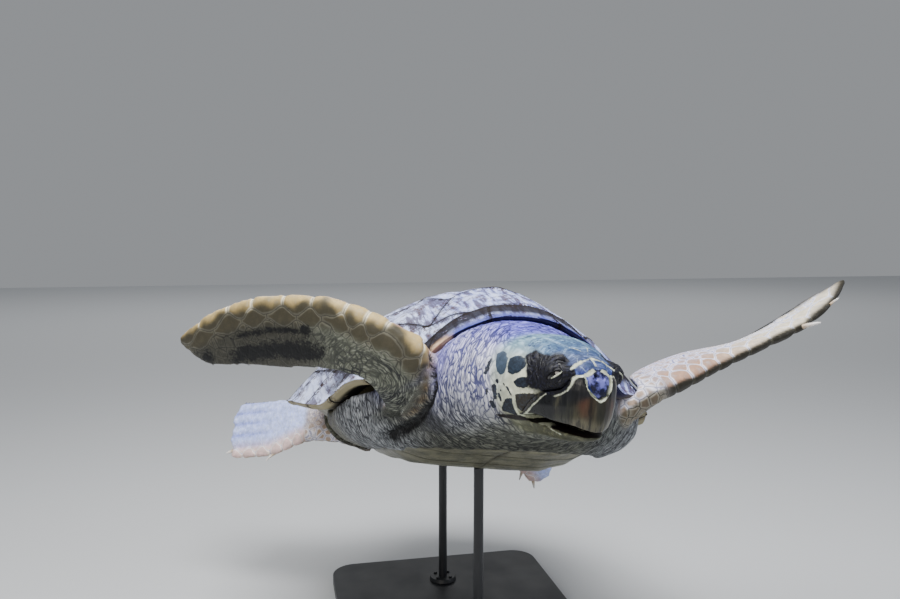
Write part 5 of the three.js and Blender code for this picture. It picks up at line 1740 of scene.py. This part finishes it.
# %% Carapace: layers of growth
wavering_gap = node(g, *ADD, gap, node(g, *TIMES, middling, 5.0))
growth = node(g, "Math", {"operation": "DIVIDE"}, wavering_gap, GROWTH_STEP)
growth = node(g, *TIMES, node(g, *FRACTION, growth), 0.3)
faded = node(g, *SOFT_STEP, gap, 46.0, 4.0)
high = node(g, *TIMES, growth, faded)
groove = node(g, *SOFT_STEP, frayed, 0.0, 2.6, 0.0, 1.1)
high = node(g, *ADD, high, groove)
high = node(g, *ADD, high, node(g, *TIMES, streaks, 0.7))
high = node(g, *ADD, high, node(g, *TIMES, small, 0.35))
surfaced(g, shader, high, middling, (0.62, 0.84), specular=0.2)
print("carapace graph:", len(g.nodes), "nodes")

# %% Rim tones for the carapace
shell_points = inwards(BODY, points_of(shell_mesh))
shell_normals = normals_of(shell_mesh) @ np.array(BODY.to_3x3())
front_edge = smoothstep(0.3, 0.42, -shell_points[:, 1] / SHELL)
seam_layer = np.empty(len(shell_points) * 3)
shell_mesh.attributes["seams"].data.foreach_get("vector", seam_layer)
shell_share = seam_layer[2::3]
edge_light = smoothstep(0.93, 0.97, shell_share) * front_edge * smoothstep(-0.5, 0.1, shell_normals[:, 2])
edge_light *= smoothstep(140, 110, np.abs(shell_points[:, 0]))
below = smoothstep(-0.15, -0.5, shell_normals[:, 2])
SHOULDER_PATCH = (112, -350, 64)
shell_points[:, 0] = np.abs(shell_points[:, 0])
rusty_share = bump(np.linalg.norm(shell_points - SHOULDER_PATCH, axis=1), 0, 25)
store(shell_mesh, "rim_tones", np.stack([edge_light, below, rusty_share], 1))
print("rusty share of the shell:", round(float((rusty_share > 0.5).mean()), 4))

# %% [markdown]
# ## The belly plate
#
# Thin smooth horn over flat bone: olive grey to a dull cream, darkened in part as painted shade under the
# body, scuffed along the body and dirty in its seams. It is the smoothest part of the animal after the beak.

# %% Plastron
belly_paint, g, shader = material_named("plastron horn, painted resin cast")
mm = in_millimetres(g)
gap = node(g, "Attribute", {ATTRIBUTE: "belly_gap"}, out="Fac")
small = node(g, "TexNoise", {}, mm, 1 / 4, 4.0, 0.6)
middling = node(g, "TexNoise", {}, mm, 1 / 22, 3.0, 0.6)
# Olive grey to a dull cream, darkened in part as painted shade under the body.
tones = node(g, *SOFT_STEP, middling, 0.35, 0.65)
colour = node(g, *COLOURS, tones, linear("#57574c"), linear("#7f7d6c"))
scuff = node(g, "Mapping", {}, {"Vector": mm, "Scale": (1 / 7, 1 / 24, 1 / 7)})
scuffs = node(g, "TexNoise", {}, scuff, 1.0, 4.0, 0.7)
scuffed = node(g, *SOFT_STEP, scuffs, 0.52, 0.7, 0.0, 0.45)
colour = node(g, *COLOURS, scuffed, colour, linear("#98947e"))
frayed = node(g, *ADD, gap, about_zero(g, small, 2.0))
dirt = node(g, *SOFT_STEP, frayed, 6.0, 0.6, 0.0, 0.55)
colour = node(g, *COLOURS, dirt, colour, linear("#3f3c30"))
in_seam = node(g, *SOFT_STEP, frayed, 1.5, 0.6, 0.0, 0.9)
colour = node(g, *COLOURS, in_seam, colour, linear("#26241b"))
varnished(g, colour, shader)
high = node(g, *SOFT_STEP, frayed, 0.0, 2.4, 0.0, 0.8)
high = node(g, *ADD, high, node(g, *TIMES, small, 0.2))
surfaced(g, shader, high, small, (0.34, 0.52))

# %% [markdown]
# ## Beak
#
# The beak is polished by what it crushes, so it is the glossiest horn. Its fibres run down from the nose to
# the cutting edge, which gives it streaks from near black through olive to a rusty brown, and a worn pale
# edge. Dabs of colour on the mesh set where each tone lies, and a noise stretched down the beak streaks it.

# %% Beak
BEAK_DABS = [
    ((52, 140, -22), 18, "#0e1013"), ((44, 165, -20), 18, "#111318"), ((38, 182, -8), 14, "#191b21"),
    ((31, 188, -24), 10, "#2a2b26"), ((26, 193, -26), 8, "#4a4936"), ((20, 199, -22), 7, "#5c3c30"),
    ((12, 203, -24), 8, "#463e32"), ((0, 206, -26), 9, "#34352e"), ((24, 194, 8), 9, "#26272c"),
    ((46, 150, -33), 9, "#2c2d2a"), ((36, 176, -39), 9, "#4c4c42"), ((22, 194, -42), 9, "#74705e"),
    ((6, 203, -46), 9, "#625f50"),
]
beak_points = points_of(beak_mesh)
in_beak = inwards(HEAD, beak_points)
beak_view = np.stack([np.abs(in_beak[:, 0]), -in_beak[:, 1], in_beak[:, 2]], 1)
beak_tone = airbrushed(beak_view, BEAK_DABS)[0]
keep_marks(beak_mesh, marks_of(beak_points))
# The fibres are counted round an upright axis 150 mm ahead of the skull's back, up it and outwards from it.
round_snout = np.arctan2(in_beak[:, 0], -in_beak[:, 1] - 150) * 42
from_axis = np.hypot(in_beak[:, 0], in_beak[:, 1] + 150)
store(beak_mesh, "tone", beak_tone)
store(beak_mesh, "fibres", np.stack([round_snout, in_beak[:, 2], from_axis], 1))

beak_paint, g, shader = material_named("beak horn, polished")
mm = in_millimetres(g)
fibres = node(g, "Attribute", {ATTRIBUTE: "fibres"}, out="Vector")
down = node(g, "Mapping", {}, {"Vector": fibres, "Scale": (1 / 7.5, 1 / 60, 1 / 30)})
streaks = node(g, "TexNoise", {}, down, 1.0, 4.0, 0.6, None, 0.3)
hair = node(g, "Mapping", {}, {"Vector": fibres, "Scale": (1 / 0.9, 1 / 18, 1 / 9)})
hairs = node(g, "TexNoise", {}, hair, 1.0, 2.0, 0.5)
small = node(g, "TexNoise", {}, mm, 1 / 3, 3.0, 0.6)
tone = node(g, "Attribute", {ATTRIBUTE: "tone"}, out="Color")
dark = node(g, *SOFT_STEP, streaks, 0.54, 0.4, 0.0, 0.75)
colour = node(g, *COLOURS, dark, tone, linear("#0e0f12"))
bright = node(g, *SOFT_STEP, streaks, 0.56, 0.74, 0.0, 0.3)
colour = node(g, *COLOURS, bright, colour, linear("#7a765f"))
fine = node(g, "MapRange", {}, hairs, 0.3, 0.7, 0.86, 1.12)
colour = node(g, *TINTED, 1.0, colour, node(g, "CombineColor", {}, fine, fine, fine))
colour = painted_marks(g, mm, colour, small)
varnished(g, colour, shader)
high = node(g, *ADD, node(g, *TIMES, streaks, 0.5), node(g, *TIMES, hairs, 0.18))
surfaced(g, shader, high, streaks, (0.24, 0.42), index=1.54, specular=0.38, strength=0.8)

# %% [markdown]
# ## Eyes, claws and steel
#
# A glass eye is clear glass over paint: one glossy coat on a nearly black iris, whose brown shows only in
# a ring of fine spokes. Claws are horn that pales towards the worn tip. The stand is mild steel with a
# sprayed satin black, which leaves a faint orange peel and a faint cloudiness in its black.

# %% Glass eye
eye_paint, g, shader = material_named("glass eye, painted iris")
off_axis = node(g, "Attribute", {ATTRIBUTE: "off_axis"}, out="Fac")
spokes = node(g, "Attribute", {ATTRIBUTE: "iris_place"}, out="Vector")
spokes = node(g, "Mapping", {}, {"Vector": spokes, "Scale": (3.0, 3.0, 0.0)})
spoke = node(g, "TexNoise", {}, spokes, 1.0, 3.0)
PUPIL, IRIS = 4.6, 8.6
iris = node(g, *COLOURS, spoke, linear("#0b0707"), linear("#231713"))
at_pupil = node(g, *SOFT_STEP, off_axis, PUPIL - 0.5, PUPIL + 0.5)
colour = node(g, *COLOURS, at_pupil, linear("#040405"), iris)
at_white = node(g, *SOFT_STEP, off_axis, IRIS - 0.6, IRIS + 1.2)
colour = node(g, *COLOURS, at_white, colour, linear("#0d0c10"))
g.links.new(colour, shader.inputs["Base Color"])
rough = node(g, "MapRange", {}, spoke, 0.0, 1.0, 0.04, 0.1)
g.links.new(rough, shader.inputs["Roughness"])
shader.inputs["IOR"].default_value = 1.5
shader.inputs["Coat Weight"].default_value = 0.6
shader.inputs["Coat Roughness"].default_value = 0.04

# %% Claw horn
claw_paint, g, shader = material_named("claw horn, painted resin")
mm = in_millimetres(g)
to_tip = node(g, "Attribute", {ATTRIBUTE: "to_tip"}, out="Fac")
grainy = node(g, "TexNoise", {}, mm, 0.8, 3.0)
ends = node(g, *ADD, to_tip, about_zero(g, grainy, 0.3))
paling = node(g, *SOFT_STEP, ends, 0.1, 0.8)
colour = node(g, *COLOURS, paling, linear("#b9a286"), linear("#e9e6e2"))
g.links.new(colour, shader.inputs["Base Color"])
surfaced(g, shader, grainy, grainy, (0.28, 0.45), index=1.54, strength=0.5, unit=0.6 * MM)

# %% Painted steel
steel_paint, g, shader = material_named("mild steel, sprayed satin black")
mm = in_millimetres(g)
# Orange peel is about a millimetre across; it is drawn at two so that it shows.
peel = node(g, "TexNoise", {}, mm, 1 / 2, 2.0)
cloudy = node(g, "TexNoise", {}, mm, 1 / 60, 3.0)
colour = node(g, *COLOURS, cloudy, linear("#17181b"), linear("#26282c"))
g.links.new(colour, shader.inputs["Base Color"])
surfaced(g, shader, peel, cloudy, (0.38, 0.52), strength=0.3, unit=0.4 * MM)
print("materials:", len(bpy.data.materials))

# %% Put the pieces in place
piece_of("turtle_skin", skin_mesh, skin_paint, FLESH)
piece_of("carapace_horn", shell_mesh, horn_paint, ["carapace"])
piece_of("plastron_horn", plastron_mesh, belly_paint, ["plastron"])
piece_of("beak_horn", beak_mesh, beak_paint, ["upper_beak"])
for side in SIDES:
    piece_of(f"glass_eye_{side}", eye_meshes[side], eye_paint, [f"eye_{side}"])
for name, mesh in claw_meshes.items():
    piece_of(mesh.name, mesh, claw_paint, [name])
piece_of("stand_slab", base_mesh, steel_paint, ["stand_base"])
for name, mesh in rod_meshes.items():
    piece_of(mesh.name, mesh, steel_paint, [name])
for piece in bpy.data.objects:
    if piece.name.startswith("stand_s"):
        piece.data.shade_flat()


# %% [markdown]
# ## The room
#
# A plain pale floor. The swimmer is lit from above, as under water, by one broad soft lamp. Weaker fills
# from the front and from one side keep the colours of its underside, and a wash lights the floor behind it.

# %% Floor
bm = bmesh.new()
bmesh.ops.create_grid(bm, x_segments=2, y_segments=2, size=9.0)
floor_mesh = mesh_from(bm, "studio_floor")
floor = bpy.data.objects.new("studio_floor", floor_mesh)
bpy.context.scene.collection.objects.link(floor)
floor_paint, graph, shader = material_named("pale studio floor")
shader.inputs["Base Color"].default_value = linear("#c9cbcd")
shader.inputs["Roughness"].default_value = 0.8
floor_mesh.materials.append(floor_paint)


# %% Lamps
def soft_lamp(name, place, aim, size, power, colour):
    lamp = bpy.data.lights.new(name, "AREA")
    lamp.shape = "RECTANGLE"
    lamp.size, lamp.size_y = size
    lamp.energy = power
    lamp.color = linear(colour)[:3]
    holder = bpy.data.objects.new(name, lamp)
    holder.location = place
    holder.rotation_euler = (Vector(aim) - Vector(place)).to_track_quat("-Z", "Y").to_euler()
    bpy.context.scene.collection.objects.link(holder)
    return holder


soft_lamp("overhead softbox", (-0.2, -0.5, 2.3), (0.0, -0.1, 0.4), (1.7, 1.3), 84, "#ffffff")
soft_lamp("front fill", (-1.3, -2.6, 1.5), (0.0, -0.2, 0.4), (1.2, 0.9), 22, "#fff6ea")
soft_lamp("side fill", (2.4, -1.0, 1.6), (0.1, -0.1, 0.4), (1.2, 1.0), 14, "#e8f0ff")
soft_lamp("floor wash", (1.0, 5.2, 3.4), (1.0, 5.6, 0.0), (9.0, 3.0), 90, "#ffffff")

world = bpy.data.worlds.new("studio")
bpy.context.scene.world = world
world.use_nodes = True
background = world.node_tree.nodes["Background"]
background.inputs["Color"].default_value = linear("#dfe3e8")
background.inputs["Strength"].default_value = 0.4

# %% Camera
EYE_POINT = Vector((-0.31170, -1.33965, 0.71063))
YAW, PITCH, ROLL = -12.332, -5.101, 0.057
camera = bpy.data.objects.new("camera", bpy.data.cameras.new("camera"))
camera.data.lens, camera.data.sensor_width = 32.0, 36.0
camera.matrix_world = (
    Matrix.Translation(EYE_POINT) @ turn(YAW, "Z") @ turn(90 + PITCH, "X") @ turn(ROLL, "Z")
)
bpy.context.scene.collection.objects.link(camera)
bpy.context.scene.camera = camera
